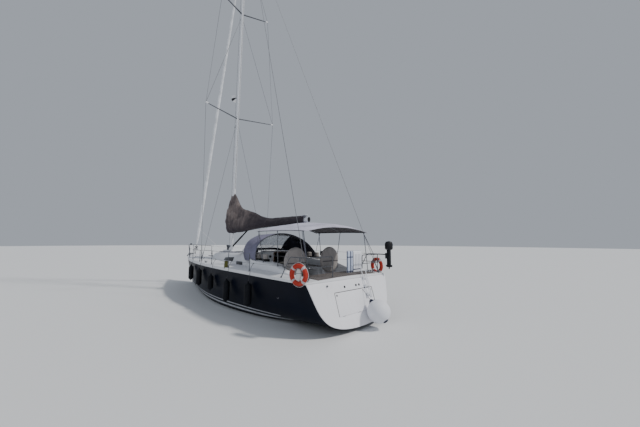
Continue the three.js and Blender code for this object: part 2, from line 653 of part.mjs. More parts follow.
// Cover around the mast: a sleeve on the mast and the bulk ahead, clear of the swinging boom cover
// columns: height, half length, half width, centre ahead of the mast
const COLLAR_LINES = [
  [3170, 185, 120, 60],
  [3300, 300, 200, 115],
  [3650, 410, 255, 165],
  [4100, 430, 260, 170],
  [4600, 350, 220, 120],
  [5000, 260, 165, 60],
  [5400, 165, 110, 0],
];
const COLLAR_SIDES = 16;
const collar = loft(COLLAR_LINES.map(([z, long, half, ahead]) =>
  Array.from({ length: COLLAR_SIDES }, (_, i) => {
  const turn = (i * 2 * Math.PI) / COLLAR_SIDES;
  return V(mastX(z) + ahead + Math.cos(turn) * long, Math.sin(turn) * half, z);
})));
const SWING = { radius: 240, low: 2900, high: 5290 };
const swingRoom = rod(onAxis(SWING.low), onAxis(SWING.high), SWING.radius, 24);
const behindMast = block(hingeX(3500) - 900, hingeX(3500) + 20, -500, 500, SWING.low, SWING.high);
const sleeve = mastTube(8, 3180, 5390).subtract(mastLug(LUG_Z, GAP));
const collarBulk = without(collar, swingRoom, behindMast);
part('mast_cover', collarBulk.add(sleeve).subtract(mastGrown), '#8d8684', 0.9);

// Forestay with the furling drum, and the furled headsail on it
const STAY_LOW = V(13440, 0, 1790);
const STAY_HIGH = V(mastX(20700) + MAST_HALF, 0, 20700);
const alongStay = (share) => STAY_LOW.clone().lerp(STAY_HIGH, share);
const stayWay = STAY_HIGH.clone().sub(STAY_LOW);
const drum = turned([
  [0, 0], [0, 50], [20, 115], [45, 115], [60, 60], [150, 60], [165, 115], [190, 115], [210, 40], [210, 0],
], alongStay(0.02), stayWay, 16);
const stayRod = rod(alongStay(-0.002), STAY_HIGH, 16, 10);
part('forestay', onDeck(stayRod.add(drum)).subtract(mastGrown), '#9da2a6', 0.35, 0.8);
const rollLength = stayWay.length();
const headsail = turned([
  [0.038, 17], [0.038, 60], [0.06, 105], [0.3, 118], [0.6, 105], [0.85, 80], [0.965, 35], [0.965, 17],
].map(([share, radius]) => [share * rollLength, radius])
  .concat([[0.038 * rollLength, 17]]), STAY_LOW, stayWay, 14);
part('furled_headsail', headsail, '#eceef0', 0.85);

// Shrouds and backstays
const WIRE = 8;
const CHAINPLATE = { x: 7810, inset: 170 };
for (const [name, side] of [['port', 1], ['starboard', -1]]) {
  const [low, high] = SPREADERS.map(([, , x, y, z]) => V(x, side * (y + WIRE - 1), z));
  const plate = V(CHAINPLATE.x, side * (hullLines(CHAINPLATE.x)[0] - CHAINPLATE.inset), 1700);
  const atMast = (z) => V(mastX(z), side * 20, z);
  const wires = joined([
    bentRod([plate, low, high, atMast(20400)], WIRE, 6),
    rod(plate, atMast(9440), WIRE, 6),
    rod(low, atMast(15660), WIRE, 6),
    rod(V(plate.x, plate.y, 1640), V(plate.x, plate.y, 1800), 26, 8),
  ]);
  part(`shrouds_${name}`, without(onDeck(wires), mastGrown, spreaders[0][2], spreaders[1][2]),
    '#b6babd', 0.3, 0.9);
}
const BACKSTAY = { x: 130, y: 1800 };
const stayHead = mastX(MASTHEAD_Z) - 300;
const backstayTang = rod(V(stayHead, 0, MASTHEAD_Z - 250), V(stayHead, 0, MASTHEAD_Z - 91), 24, 8);
const backstays = joined([1, -1].map((side) => joined([
  rod(V(stayHead, side * 11, MASTHEAD_Z - 115), V(BACKSTAY.x, side * BACKSTAY.y, 1560), WIRE, 6),
  rod(V(BACKSTAY.x, side * BACKSTAY.y, 1500), V(BACKSTAY.x, side * BACKSTAY.y, 1700), 24, 8),
])));
part('backstays', onDeck(backstays.add(backstayTang)).subtract(crane(GAP)), '#b6babd', 0.3, 0.9);

// Rails of polished tube
const RAIL = 15;
const RAIL_Z = 2310;
const edgeY = (x) => hullLines(x)[0] - 60;
const post = (x, side, top) => rod(V(x, side * edgeY(x), 1500), V(x, side * edgeY(x), top), RAIL, 6);

const PULPIT = { aft: 12500, fore: 14250, top: 2420 };
const pulpitTop = [
  V(PULPIT.aft, edgeY(PULPIT.aft), PULPIT.top), V(13450, 430, PULPIT.top + 20),
  V(PULPIT.fore, 150, PULPIT.top + 40),
  V(PULPIT.fore, -150, PULPIT.top + 40), V(13450, -430, PULPIT.top + 20),
  V(PULPIT.aft, -edgeY(PULPIT.aft), PULPIT.top),
];
const pulpitFoot = (side) => V(PULPIT.aft, side * edgeY(PULPIT.aft), 1500);
const pulpitRail = bentRod([pulpitFoot(1), ...pulpitTop, pulpitFoot(-1)], RAIL, 6);
const pulpitLegs = [1, -1].flatMap((side) => [
  rod(V(13300, side * 400, 1500), V(13450, side * 430, PULPIT.top + 15), RAIL - 1, 6),
  rod(V(13900, side * 150, 1500), V(PULPIT.fore, side * 150, PULPIT.top + 35), RAIL - 1, 6),
]);
const pulpitMid = [1, -1].map((side) => bentRod([
  V(PULPIT.aft, side * edgeY(PULPIT.aft), 2100), V(13397, side * 420, 2100),
  V(14125, side * 150, 2100)], RAIL - 3, 5));
part('pulpit', onDeck(joined([pulpitRail, ...pulpitLegs, ...pulpitMid])), '#c3c7ca', 0.2, 0.95);

// columns: posts from stern along each guardrail
const STANCHIONS = [2950, 4480, 6050, 7650, 9250, 10900];
const PUSHPIT = { fore: 1150, top: 2280, mid: 1980, aft: 110, gate: 760 };
// Posts with two wires that run from the stern rail to the bow rail
function guardrail(side, grow) {
  const wires = [
    { z: PUSHPIT.top, aft: 760 + RAIL + 4, postZ: RAIL_Z, bowZ: PULPIT.top - 20 },
    { z: PUSHPIT.mid, aft: 930, postZ: PUSHPIT.mid, bowZ: 2090 },
  ].map(({ z, aft, postZ, bowZ }) => bentRod([
    V(aft, side * edgeY(aft), z), ...STANCHIONS.map((x) => V(x, side * edgeY(x), postZ)),
    V(PULPIT.aft - RAIL - 1, side * edgeY(PULPIT.aft), bowZ)], 5 + grow, 4));
  const posts = STANCHIONS.map((x) => post(x, side, RAIL_Z + 10));
  return joined([...posts, ...wires]);
}

const cornerRail = bentRod([V(760, -edgeY(600), PUSHPIT.top), V(280, -edgeY(600), PUSHPIT.top),
  V(PUSHPIT.aft, 170 - edgeY(600), PUSHPIT.top), V(PUSHPIT.aft, -PUSHPIT.gate, PUSHPIT.top)], RAIL + GAP);
const BUOY = {
  x: { 1: 170, [-1]: 430 }, y: { 1: 2102, [-1]: 2126 }, z: 1815, radius: 250, tube: 68, turn: 0.21,
};
// Lifebuoy, its aft part turned inboard round the stern rail's corner
function buoy(side, grow) {
  const ring = new THREE.TorusGeometry(BUOY.radius, BUOY.tube + grow, 10, 28);
  ring.rotateX(Math.PI / 2);
  ring.rotateZ(side * BUOY.turn);
  ring.translate(BUOY.x[side], side * BUOY.y[side], BUOY.z);
  return solid(ring);
}
for (const [name, side] of [['port', 1], ['starboard', -1]]) {
  const railY = edgeY(600);
  const holderX = Math.max(290, BUOY.x[side]);
  const holder = [side * (railY - 5), side * (BUOY.y[side] + 20)].sort((a, b) => a - b);
  const gate = side * PUSHPIT.gate;
  const corner = side * (railY - 170);
  const rails = joined([
    bentRod([
      V(PUSHPIT.fore, side * edgeY(PUSHPIT.fore), 1500), V(760, side * railY, PUSHPIT.top),
      V(280, side * railY, PUSHPIT.top), V(PUSHPIT.aft, corner, PUSHPIT.top),
      V(PUSHPIT.aft, gate, PUSHPIT.top), V(PUSHPIT.aft, gate, 1500)], RAIL),
    bentRod([
      V(905, side * railY, PUSHPIT.mid), V(280, side * railY, PUSHPIT.mid),
      V(PUSHPIT.aft, corner, PUSHPIT.mid), V(PUSHPIT.aft, gate, PUSHPIT.mid)], RAIL - 3, 6),
    rod(V(280, side * railY, 1500), V(280, side * railY, PUSHPIT.top), RAIL, 8),
    rod(V(holderX + 20, side * railY, PUSHPIT.mid), V(holderX + 20, side * railY, PUSHPIT.top), 9, 6),
    block(holderX, holderX + 40, ...holder, 2005, 2065),
  ]);
  part(`pushpit_${name}`, without(onDeck(rails), buoy(side, GAP)), '#c3c7ca', 0.2, 0.95);

  part(`guardrail_${name}`, onDeck(guardrail(side, 0)), '#c3c7ca', 0.25, 0.9);
}

// Bent sheet over hoops: an arch from side to side, as thick as the cloth. The arch rises with
// its share of the way from the middle to the edge.
const ARCH_STEPS = 16;
function archRing([x, edgeZ, crown, half, base = 0], thick, rise) {
  const outer = Array.from({ length: ARCH_STEPS + 1 }, (_, i) => {
    const share = Math.cos((Math.PI * i) / ARCH_STEPS);
    return [share * half, rise(Math.min(1, Math.abs(share)))];
  });
  const point = (y, up, z) => V(x + base * (1 - up), y, z);
  return [
    ...outer.map(([y, up]) => point(y, up, edgeZ + (crown - edgeZ) * up)),
    ...outer.slice().reverse().map(([y, up]) => point(
      y * (1 - thick / half), up, edgeZ + (crown - edgeZ - thick) * up)),
  ];
}

// Sprayhood
// columns: hoop from stern, foot height, crown height, half width, foot ahead of crown, squareness
const HOOD_LINES = [
  [3780, 2000, 3090, 1600, -530, 2],
  [4050, 2000, 3095, 1530, -320, 2.6],
  [4450, 1980, 2990, 1400, 0, 3.8],
  [4780, 1950, 2760, 1300, 30, 4],
  [5170, 1950, 2350, 1010, 0, 4],
];
const hoodRise = (square) => (share) => (1 - share ** square) ** (1 / square);
const CLOTH = 14;
const roofKeepOut = loft(ROOF_LINES.map((row) => roofRing(row, -GAP)))
  .add(hatchWay);
const hoodShell = loft(HOOD_LINES.map((row) => archRing(row, CLOTH, hoodRise(row[5]))), true);
const coamingKeepOut = joined([-1, 1].map((side) => loft(COAMING_LINES.map(([x, top, outer]) => [
  V(x, side * (COAMING_INNER - 60), 1400), V(x, side * (COAMING_INNER - 60), top + GAP),
  V(x, side * (outer + 10), top + GAP), V(x, side * (outer + 10), 1400)]))));
const hoodTrimmed = onDeck(without(hoodShell, roofKeepOut, coamingKeepOut));
const HOOD_WINDOW = { aft: 4300, fore: 5080, half: 900, low: 2000, high: 3200 };
const hoodWindow = (shrink) => block(HOOD_WINDOW.aft + shrink, HOOD_WINDOW.fore - shrink,
  shrink - HOOD_WINDOW.half, HOOD_WINDOW.half - shrink, HOOD_WINDOW.low, HOOD_WINDOW.high);
part('sprayhood', hoodTrimmed.subtract(hoodWindow(0)), '#8f8e99', 0.9);
part('sprayhood_window', hoodTrimmed.intersect(hoodWindow(GAP)), '#c9d3d8', 0.15);

// Bimini top and its hoops
// columns: from stern, edge height, crown height, half width
const BIMINI_LINES = [
  [430, 3080, 3250, 1560],
  [620, 3105, 3325, 1590],
  [1200, 3125, 3425, 1640],
  [1900, 3135, 3460, 1650],
  [2600, 3135, 3440, 1640],
  [3150, 3130, 3380, 1610],
  [3330, 3110, 3325, 1580],
];

const biminiRise = (share) => 1 - share ** 2.2;
const BIMINI_TUBE = 13;
// columns: row of the cloth's table that the hoop carries, foot from stern, foot height
const BIMINI_HOOPS = [
  [1, 400, 1500],
  [3, 2000, 1700],
  [5, 2900, 1700],
];
const SIDE_TUBE = 14;
const clothEdge = ([x, edge, , half], side) => V(x, side * (half - SIDE_TUBE - 2), edge - SIDE_TUBE - GAP);
const hoops = BIMINI_HOOPS.map(([row, footX, footZ]) => {
  const [x, edge, crown, half] = BIMINI_LINES[row];
  const inset = CLOTH + BIMINI_TUBE + 9;
  const under = [x, edge - BIMINI_TUBE - 4, crown - inset, half - inset];
  const arch = archRing(under, 1, biminiRise).slice(0, ARCH_STEPS + 1);
  return bentRod([V(footX, 1500, footZ), ...arch, V(footX, -1500, footZ)], BIMINI_TUBE, 6);
});
const edgeTubes = [1, -1].map((side) => bentRod(
  BIMINI_LINES.slice(1, -1).map((row) => clothEdge(row, side)), SIDE_TUBE, 6));
const hoopClamps = [1, -1].flatMap((side) => BIMINI_HOOPS.map(([row]) => {
  const edge = clothEdge(BIMINI_LINES[row], side);
  return rod(edge, V(edge.x, edge.y - side * 28, edge.z - 4), SIDE_TUBE - 1, 6);
}));
part('bimini', loft(BIMINI_LINES.map((row) => archRing(row, CLOTH, biminiRise)), true), '#dcd9de', 0.9);
const biminiFrame = joined([...hoops, ...edgeTubes, ...hoopClamps]).subtract(coamingKeepOut);
part('bimini_frame', onDeck(biminiFrame), '#c3c7ca', 0.2, 0.95);

// Lifebuoys on the stern rails
part('lifebuoy_port', buoy(1, 0), '#d8482a', 0.6);
part('lifebuoy_starboard', buoy(-1, 0), '#d8482a', 0.6);

// Outboard motor stowed on the starboard stern rail
const MOTOR = { x: -140, y: -2010 };
const motor = joined([
  turned([[0, 0], [0, 120], [60, 150], [220, 150], [300, 110], [330, 0]],
    V(MOTOR.x - 60, MOTOR.y, 2450), V(0, 0, 1), 12),
  block(MOTOR.x - 120, MOTOR.x + 10, MOTOR.y - 45, MOTOR.y + 45, 1800, 2500),
  turned([[-130, 0], [-110, 42], [120, 42], [160, 0]], V(MOTOR.x - 70, MOTOR.y, 1850), V(1, 0, 0), 10),
  block(MOTOR.x - 80, MOTOR.x - 40, MOTOR.y - 8, MOTOR.y + 8, 1730, 1840),
  rod(V(MOTOR.x, MOTOR.y, 2270), V(200, 96 - edgeY(600), PUSHPIT.top), 20, 8),
  block(MOTOR.x - 20, MOTOR.x + 40, MOTOR.y - 110, MOTOR.y + 110, 2120, 2330),
]);
part('outboard', motor.subtract(cornerRail), '#141518', 0.4);

// Fenders, hung from the rail on their lines
// columns: from stern, top of the fender, length, radius
const FENDERS = [
  [2700, 1360, 830, 130],
  [4220, 1310, 840, 120],
  [5640, 1380, 660, 115],
  [7020, 1520, 780, 115],
  [8550, 1565, 750, 115],
];
// Half beam of the straight lower wire between its posts
function wireY(x) {
  const fore = STANCHIONS.find((post) => post > x) ?? PULPIT.aft;
  const aft = STANCHIONS.findLast((post) => post <= x) ?? PUSHPIT.fore;
  return edgeY(aft) + ((edgeY(fore) - edgeY(aft)) * (x - aft)) / (fore - aft);
}
const guardrailGrown = guardrail(1, GAP);
for (const [i, [x, top, length, radius]] of FENDERS.entries()) {
  const y = Math.max(halfBeam(x, top), halfBeam(x, top - length)) + radius + 25;
  const body = turned([[0, 0], [0, 30], [50, radius * 0.8], [110, radius], [length - 110, radius],
    [length - 50, radius * 0.8], [length, 30], [length, 0]], V(x, y, top - length), V(0, 0, 1), 12);
  const hitch = V(x, wireY(x), PUSHPIT.mid);
  const line = bentRod([V(x, y, top - 10), V(x, edgeY(x) + 95, 1840), hitch], 6, 6).add(ball(hitch, 15, 8));
  part(`fender_${i + 1}`, body.add(line.subtract(guardrailGrown)), '#14161c', 0.6);
}

// Ball fender, hung from an eye on the bathing platform's top edge
const BALL = { x: -780, y: -430, z: 550, radius: 370 };
const HANG = V(-166.3, BALL.y, 1154.7);
const ballTop = V(BALL.x, BALL.y, BALL.z + BALL.radius - 20);
const ballFender = joined([ball(V(BALL.x, BALL.y, BALL.z), BALL.radius, 18),
  turned([[0, 0], [0, 80], [90, 60], [130, 30], [130, 0]], ballTop, V(0, 0, 1), 10),
  rod(V(BALL.x, BALL.y, BALL.z + BALL.radius + 80), HANG, 7, 6), ball(HANG, 15, 12)]);
part('ball_fender', ballFender, '#e9e9e9', 0.45);

// Anchor on its bow roller
const roller = joined([
  block(13900, 14420, -70, -50, 1750, 1900), block(13900, 14420, 50, 70, 1750, 1900),
  block(13900, 14400, -70, 70, 1750, 1775), rod(V(14370, -60, 1830), V(14370, 60, 1830), 35, 12)]);
const anchor = joined([roller, block(13700, 14460, -12, 12, 1868, 1910),
  loft([[14300, 30, 1650], [14440, 190, 1700], [14560, 20, 1890]].map(([x, half, z]) => [
    V(x, half, z), V(x, 0, z - 40), V(x, -half, z), V(x, 0, z + 25)])),
  block(14380, 14460, -12, 12, 1700, 1890)]);
part('anchor', onDeck(anchor).subtract(hullBody), '#a4a8ab', 0.4, 0.8);

// Striped cushion against the starboard stern rail
const cushion = block(400, 470, -1150, -300, 1500, 2440);
part('striped_cushion', cushion.subtract(deckLoft(1400, TEAK + GAP)), '#e6e6ea', 0.9);

export default yacht;
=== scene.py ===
"""Looks of a sailing yacht afloat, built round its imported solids.

Metres, +X to the bow, +Y to port, +Z up from the waterline. Lengths along the boat are given from the
transom's top edge, as at() takes them.
"""
import logging
import math
from dataclasses import dataclass, field
from enum import Enum
from typing import Callable, Iterable, Optional, Sequence

import bmesh
import bpy
from mathutils import Matrix, Vector, noise


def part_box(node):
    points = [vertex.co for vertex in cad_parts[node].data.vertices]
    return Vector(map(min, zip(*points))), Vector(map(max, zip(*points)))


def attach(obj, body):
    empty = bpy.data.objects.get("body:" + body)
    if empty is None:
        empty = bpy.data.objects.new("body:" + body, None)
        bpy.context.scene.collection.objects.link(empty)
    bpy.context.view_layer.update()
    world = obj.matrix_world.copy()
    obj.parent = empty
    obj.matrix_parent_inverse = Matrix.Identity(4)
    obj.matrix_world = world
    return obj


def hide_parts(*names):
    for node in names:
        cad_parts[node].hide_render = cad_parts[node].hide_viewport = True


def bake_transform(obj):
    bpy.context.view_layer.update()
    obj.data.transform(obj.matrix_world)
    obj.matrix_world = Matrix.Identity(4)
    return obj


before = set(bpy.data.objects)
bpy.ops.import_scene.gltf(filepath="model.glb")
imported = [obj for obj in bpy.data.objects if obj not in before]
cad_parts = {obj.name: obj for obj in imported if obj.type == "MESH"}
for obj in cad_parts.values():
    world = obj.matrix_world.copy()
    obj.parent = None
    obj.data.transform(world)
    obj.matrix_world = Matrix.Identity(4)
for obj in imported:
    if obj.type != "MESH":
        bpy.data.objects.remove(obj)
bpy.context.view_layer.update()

LOG = logging.getLogger("yacht")
AMIDSHIPS = 7.1
Triple = tuple[float, float, float]
Colour = Triple
AHEAD = Vector((1, 0, 0))
PORTWARD = Vector((0, 1, 0))
UP = Vector((0, 0, 1))


class Side(Enum):
    """Side of the boat, with its sign along Y."""

    PORT = 1
    STARBOARD = -1

    @property
    def word(self) -> str:
        """Name of the side as nodes use it."""
        return self.name.lower()


def at(x: float, y: float, z: float) -> Vector:
    """Point of the frame from a length measured from the transom's top edge."""
    return Vector((x - AMIDSHIPS, y, z))


def blend_between(low: float, high: float, share: float) -> float:
    """Value between two others by a share."""
    return low + (high - low) * share


def smooth_step(low: float, high: float, value: float) -> float:
    """Share from 0 at low to 1 at high, level at both ends."""
    share = min(1.0, max(0.0, (value - low) / (high - low)))
    return share * share * (3 - 2 * share)


class Lines:
    """Smooth values between the rows of a table whose first column rises."""

    def __init__(self, rows: Sequence[Sequence[float]]) -> None:
        """Keeps the rows.

        Args:
            rows: rows of a position and the values there.
        """
        self.rows = rows

    def read(self, x: float) -> list[float]:
        """Values at a position.

        Args:
            x: position, held inside the table's.

        Returns:
            One value for each column after the first.
        """
        rows = self.rows
        x = min(max(x, rows[0][0]), rows[-1][0])
        i = max(i for i in range(len(rows) - 1) if rows[i][0] <= x)
        (t0, *p0), (t1, *p1) = rows[i], rows[i + 1]
        before = rows[i - 1] if i > 0 else rows[i + 1]
        after = rows[i + 2] if i + 2 < len(rows) else rows[i]
        half = (t1 - t0) / 2
        wp, wn = half / (t0 - before[0]), half / (after[0] - t1)
        p = (x - t0) / (t1 - t0)
        sp = -wp * p ** 3 + 2 * wp * p ** 2 - wp * p
        s0 = (1 + wp) * p ** 3 - (1.5 + 2 * wp) * p ** 2 + (wp - 0.5) * p + 1
        s1 = -(1 + wn) * p ** 3 + (1.5 + wn) * p ** 2 + 0.5 * p
        sn = wn * p ** 3 - wn * p ** 2
        return [sp * b + s0 * u + s1 * v + sn * a for b, u, v, a in zip(before[1:], p0, p1, after[1:])]


def rounded(points: Sequence[Vector], bend: float, steps: int = 5) -> list[Vector]:
    """Route with its corners rounded.

    Args:
        points: corners of the route.
        bend: how far from each corner the round starts.
        steps: points on each round.

    Returns:
        The points of the rounded route.
    """
    route = [points[0]]
    for before, corner, after in zip(points, points[1:], points[2:]):
        into, out = before - corner, after - corner
        reach = min(bend, into.length * 0.45, out.length * 0.45)
        start, end = corner + into.normalized() * reach, corner + out.normalized() * reach
        for step in range(steps + 1):
            t = step / steps
            route.append(start * (1 - t) ** 2 + corner * (2 * t * (1 - t)) + end * t ** 2)
    route.append(points[-1])
    return route


def circle(centre: Vector, radius: float, first: Vector, second: Vector, count: int) -> list[Vector]:
    """Points on a circle.

    Args:
        centre: its middle.
        radius: its radius.
        first: the way to its first point.
        second: the way to the point a quarter turn on.
        count: how many points.

    Returns:
        The points.
    """
    turns = [math.tau * i / count for i in range(count)]
    return [centre + (first * math.cos(a) + second * math.sin(a)) * radius for a in turns]


class Wire:
    """A shader value, so that maths on it reads as an expression."""

    def __init__(self, bench: "Bench", socket: bpy.types.NodeSocket) -> None:
        """Wraps a socket of a bench's tree."""
        self.bench = bench
        self.socket = socket

    def maths(self, operation: str, *others: object, flip: bool = False) -> "Wire":
        """Adds a Math node.

        Args:
            operation: the node's operation.
            others: further values or wires.
            flip: whether this value comes last.

        Returns:
            The node's result.
        """
        values = [*others, self] if flip else [self, *others]
        return self.bench.node("ShaderNodeMath", {"operation": operation}, dict(enumerate(values)))

    def __add__(self, other: object) -> "Wire":
        """Sum."""
        return self.maths("ADD", other)

    __radd__ = __add__

    def __sub__(self, other: object) -> "Wire":
        """Difference."""
        return self.maths("SUBTRACT", other)

    def __rsub__(self, other: object) -> "Wire":
        """Difference from a number."""
        return self.maths("SUBTRACT", other, flip=True)

    def __mul__(self, other: object) -> "Wire":
        """Product."""
        return self.maths("MULTIPLY", other)

    __rmul__ = __mul__

    def __truediv__(self, other: object) -> "Wire":
        """Quotient."""
        return self.maths("DIVIDE", other)

    def __gt__(self, other: object) -> "Wire":
        """1 where this is greater."""
        return self.maths("GREATER_THAN", other)

    def __lt__(self, other: object) -> "Wire":
        """1 where this is less."""
        return self.maths("LESS_THAN", other)

    def __abs__(self) -> "Wire":
        """Size without sign."""
        return self.maths("ABSOLUTE")

    def wave(self) -> "Wire":
        """Sine."""
        return self.maths("SINE")

    def floor(self) -> "Wire":
        """Whole number below."""
        return self.maths("FLOOR")

    def fraction(self) -> "Wire":
        """What is left over the whole number below."""
        return self.maths("FRACT")

    def ramp(self, low: float, high: float) -> "Wire":
        """Smooth share of this value between two others.

        Args:
            low: where the share is 0.
            high: where it is 1.

        Returns:
            The share.
        """
        settings = {"interpolation_type": "SMOOTHSTEP", "clamp": True}
        inputs = {"Value": self, "From Min": low, "From Max": high}
        return self.bench.node("ShaderNodeMapRange", settings, inputs)

    def span(self, low: float, high: float, soft: float) -> "Wire":
        """1 between two values, with soft edges."""
        return self.ramp(low - soft, low + soft) * (1 - self.ramp(high - soft, high + soft))


class Bench:
    """The node tree of one finish."""

    def __init__(self, name: str) -> None:
        """Starts a material with its shader.

        Args:
            name: the material's name.
        """
        self.material = bpy.data.materials.new(name)
        self.material.use_nodes = True
        self.tree = self.material.node_tree
        self.shader = self.tree.nodes["Principled BSDF"]
        self._place: Optional[Wire] = None

    def node(self, kind: str, settings: Optional[dict] = None, inputs: Optional[dict] = None,
             output: object = 0) -> Wire:
        """Adds a node.

        Args:
            kind: the node's type.
            settings: its properties, set first.
            inputs: values or wires by socket name or number.
            output: the name or number of the result.

        Returns:
            The chosen result.
        """
        made = self.tree.nodes.new(kind)
        for key, value in (settings or {}).items():
            setattr(made, key, value)
        for key, value in (inputs or {}).items():
            self._connect(value, made.inputs[key])
        return Wire(self, made.outputs[output])

    def _connect(self, value: object, socket: bpy.types.NodeSocket) -> None:
        """Links a wire or sets a value.

        Args:
            value: a wire, a number or a colour.
            socket: where it goes.
        """
        if isinstance(value, Wire):
            self.tree.links.new(value.socket, socket)
        elif isinstance(value, tuple) and len(value) == 3 and socket.type == "RGBA":
            socket.default_value = (*value, 1.0)
        else:
            socket.default_value = value

    def place(self) -> Wire:
        """Point on the piece, in the yacht's frame.

        Returns:
            The point.
        """
        if self._place is None:
            self._place = self.node("ShaderNodeTexCoord", output="Object")
        return self._place

    def axes(self) -> tuple[Wire, Wire, Wire]:
        """The point's three coordinates."""
        return self._split(self.place())

    def facing(self) -> tuple[Wire, Wire, Wire]:
        """The surface's direction, by coordinate."""
        return self._split(self.node("ShaderNodeNewGeometry", output="Normal"))

    def _split(self, vector: Wire) -> tuple[Wire, Wire, Wire]:
        """The three numbers of a vector."""
        outputs = self.node("ShaderNodeSeparateXYZ", inputs={0: vector}).socket.node.outputs
        return Wire(self, outputs[0]), Wire(self, outputs[1]), Wire(self, outputs[2])

    def stretched(self, scale: Triple) -> Wire:
        """The point, scaled along each axis."""
        return self.node("ShaderNodeMapping", inputs={"Vector": self.place(), "Scale": scale})

    def noise(self, scale: float, detail: float = 3.0, rough: float = 0.5,
              place: Optional[Wire] = None) -> Wire:
        """Cloudy noise, about 0.5.

        Args:
            scale: how many lumps fit in a metre.
            detail: layers of finer noise.
            rough: how strong the finer layers are.
            place: where it is read, or the point itself.

        Returns:
            The noise.
        """
        inputs = {"Vector": place or self.place(), "Scale": scale, "Detail": detail, "Roughness": rough}
        return self.node("ShaderNodeTexNoise", inputs=inputs)

    def mix(self, mask: object, one: object, other: object) -> Wire:
        """Colour from one to the other as the mask goes from 0 to 1."""
        return self.node("ShaderNodeMix", {"data_type": "RGBA"}, {0: mask, 6: one, 7: other}, output=2)

    def feed(self, **sockets: object) -> None:
        """Sets or links the shader's sockets, with underscores for spaces."""
        for key, value in sockets.items():
            self._connect(value, self.shader.inputs[key.replace("_", " ")])

    def bump(self, height: Wire, distance: float, strength: float = 1.0) -> None:
        """Raises the surface by a height in shares of a distance."""
        inputs = {"Height": height, "Distance": distance, "Strength": strength}
        self.feed(Normal=self.node("ShaderNodeBump", inputs=inputs))


_made_finishes: dict[str, bpy.types.Material] = {}


@dataclass(frozen=True)
class Finish:
    """A surface finish of the yacht."""

    name: str
    slot: str
    colour: Colour
    roughness: float = 0.5
    metallic: float = 0.0

    def material(self) -> bpy.types.Material:
        """The finish's material, made once.

        Returns:
            The material.
        """
        if self.name not in _made_finishes:
            bench = Bench(self.name)
            bench.feed(Base_Color=self.colour, Roughness=self.roughness, Metallic=self.metallic)
            self.dress(bench)
            _made_finishes[self.name] = bench.material
        return _made_finishes[self.name]

    def dress(self, bench: Bench) -> None:
        """Adds what varies over the surface to the node tree."""
        raise NotImplementedError


@dataclass(frozen=True)
class Enamel(Finish):
    """Dark topside enamel with two pale boot stripes, antifouling below the water."""

    stripe: Colour = (0.62, 0.63, 0.66)
    under: Colour = (0.018, 0.022, 0.032)
    low_stripe: Triple = (0.11, 0.2, 1.35)
    high_stripe: Triple = (0.29, 0.33, 1.7)
    rise: float = 0.011

    def dress(self, bench: Bench) -> None:
        """Stripes by height, salt and scuffs near the water.

        Args:
            bench: the finish's node tree.
        """
        x, _, z = bench.axes()
        cloud = bench.noise(0.9, 4.0)
        streak = bench.noise(1.0, 4.0, 0.6, bench.stretched((5.0, 5.0, 0.7)))
        deep = tuple(c * 0.7 for c in self.colour)
        tone = bench.mix(cloud.ramp(0.35, 0.7), self.colour, deep)
        salt = streak.ramp(0.55, 0.85) * (1 - z.ramp(0.1, 1.0)) * 0.12
        tone = bench.mix(salt, tone, (0.2, 0.22, 0.25))
        level = z - (x + 5.7) * self.rise
        for low, high, aft in (self.low_stripe, self.high_stripe):
            mask = level.span(low, high, 0.004) * (x > aft - AMIDSHIPS)
            worn = mask * (0.75 + 0.25 * bench.noise(6.0, 5.0).ramp(0.3, 0.6))
            tone = bench.mix(worn, tone, self.stripe)
        wet = 1 - z.ramp(0.0, 0.03)
        slime = bench.mix(bench.noise(3.0, 6.0, 0.7), self.under, (0.035, 0.045, 0.035))
        tone = bench.mix(wet, tone, slime)
        bench.feed(Base_Color=tone, Roughness=0.38 + salt * 0.8 + wet * 0.4, Specular_IOR_Level=0.07)
        bench.bump(cloud + bench.noise(14.0, 2.0) * 0.05, 0.004, 0.35)


@dataclass(frozen=True)
class Gelcoat(Finish):
    """Off-white gelcoat with faint dirt, and moulded grip where it is walked on."""

    grip: float = 0.0
    dirt: Colour = (0.42, 0.4, 0.36)

    def dress(self, bench: Bench) -> None:
        """Dirt in streaks down the sides, and a fine grip on the flats.

        Args:
            bench: the finish's node tree.
        """
        _, _, up = bench.facing()
        cloud = bench.noise(1.3, 5.0, 0.55)
        streak = bench.noise(1.0, 5.0, 0.6, bench.stretched((9.0, 9.0, 0.9)))
        upright = 1 - abs(up).ramp(0.3, 0.8)
        grime = cloud.ramp(0.45, 0.8) * 0.1 + streak.ramp(0.55, 0.85) * upright * 0.22
        tone = bench.mix(grime, self.colour, self.dirt)
        bench.feed(Base_Color=tone, Roughness=self.roughness + grime * 0.9)
        fine = bench.noise(40.0, 2.0) * 0.2
        if self.grip:
            cells = bench.node("ShaderNodeTexVoronoi", {"feature": "DISTANCE_TO_EDGE"},
                               {"Vector": bench.place(), "Scale": 110.0}, output="Distance")
            flat = up.ramp(0.93, 0.98)
            bench.bump(fine + cells.ramp(0.0, 0.25) * flat, 0.0015 * self.grip, 0.6)
        else:
            bench.bump(fine + cloud, 0.0012, 0.3)


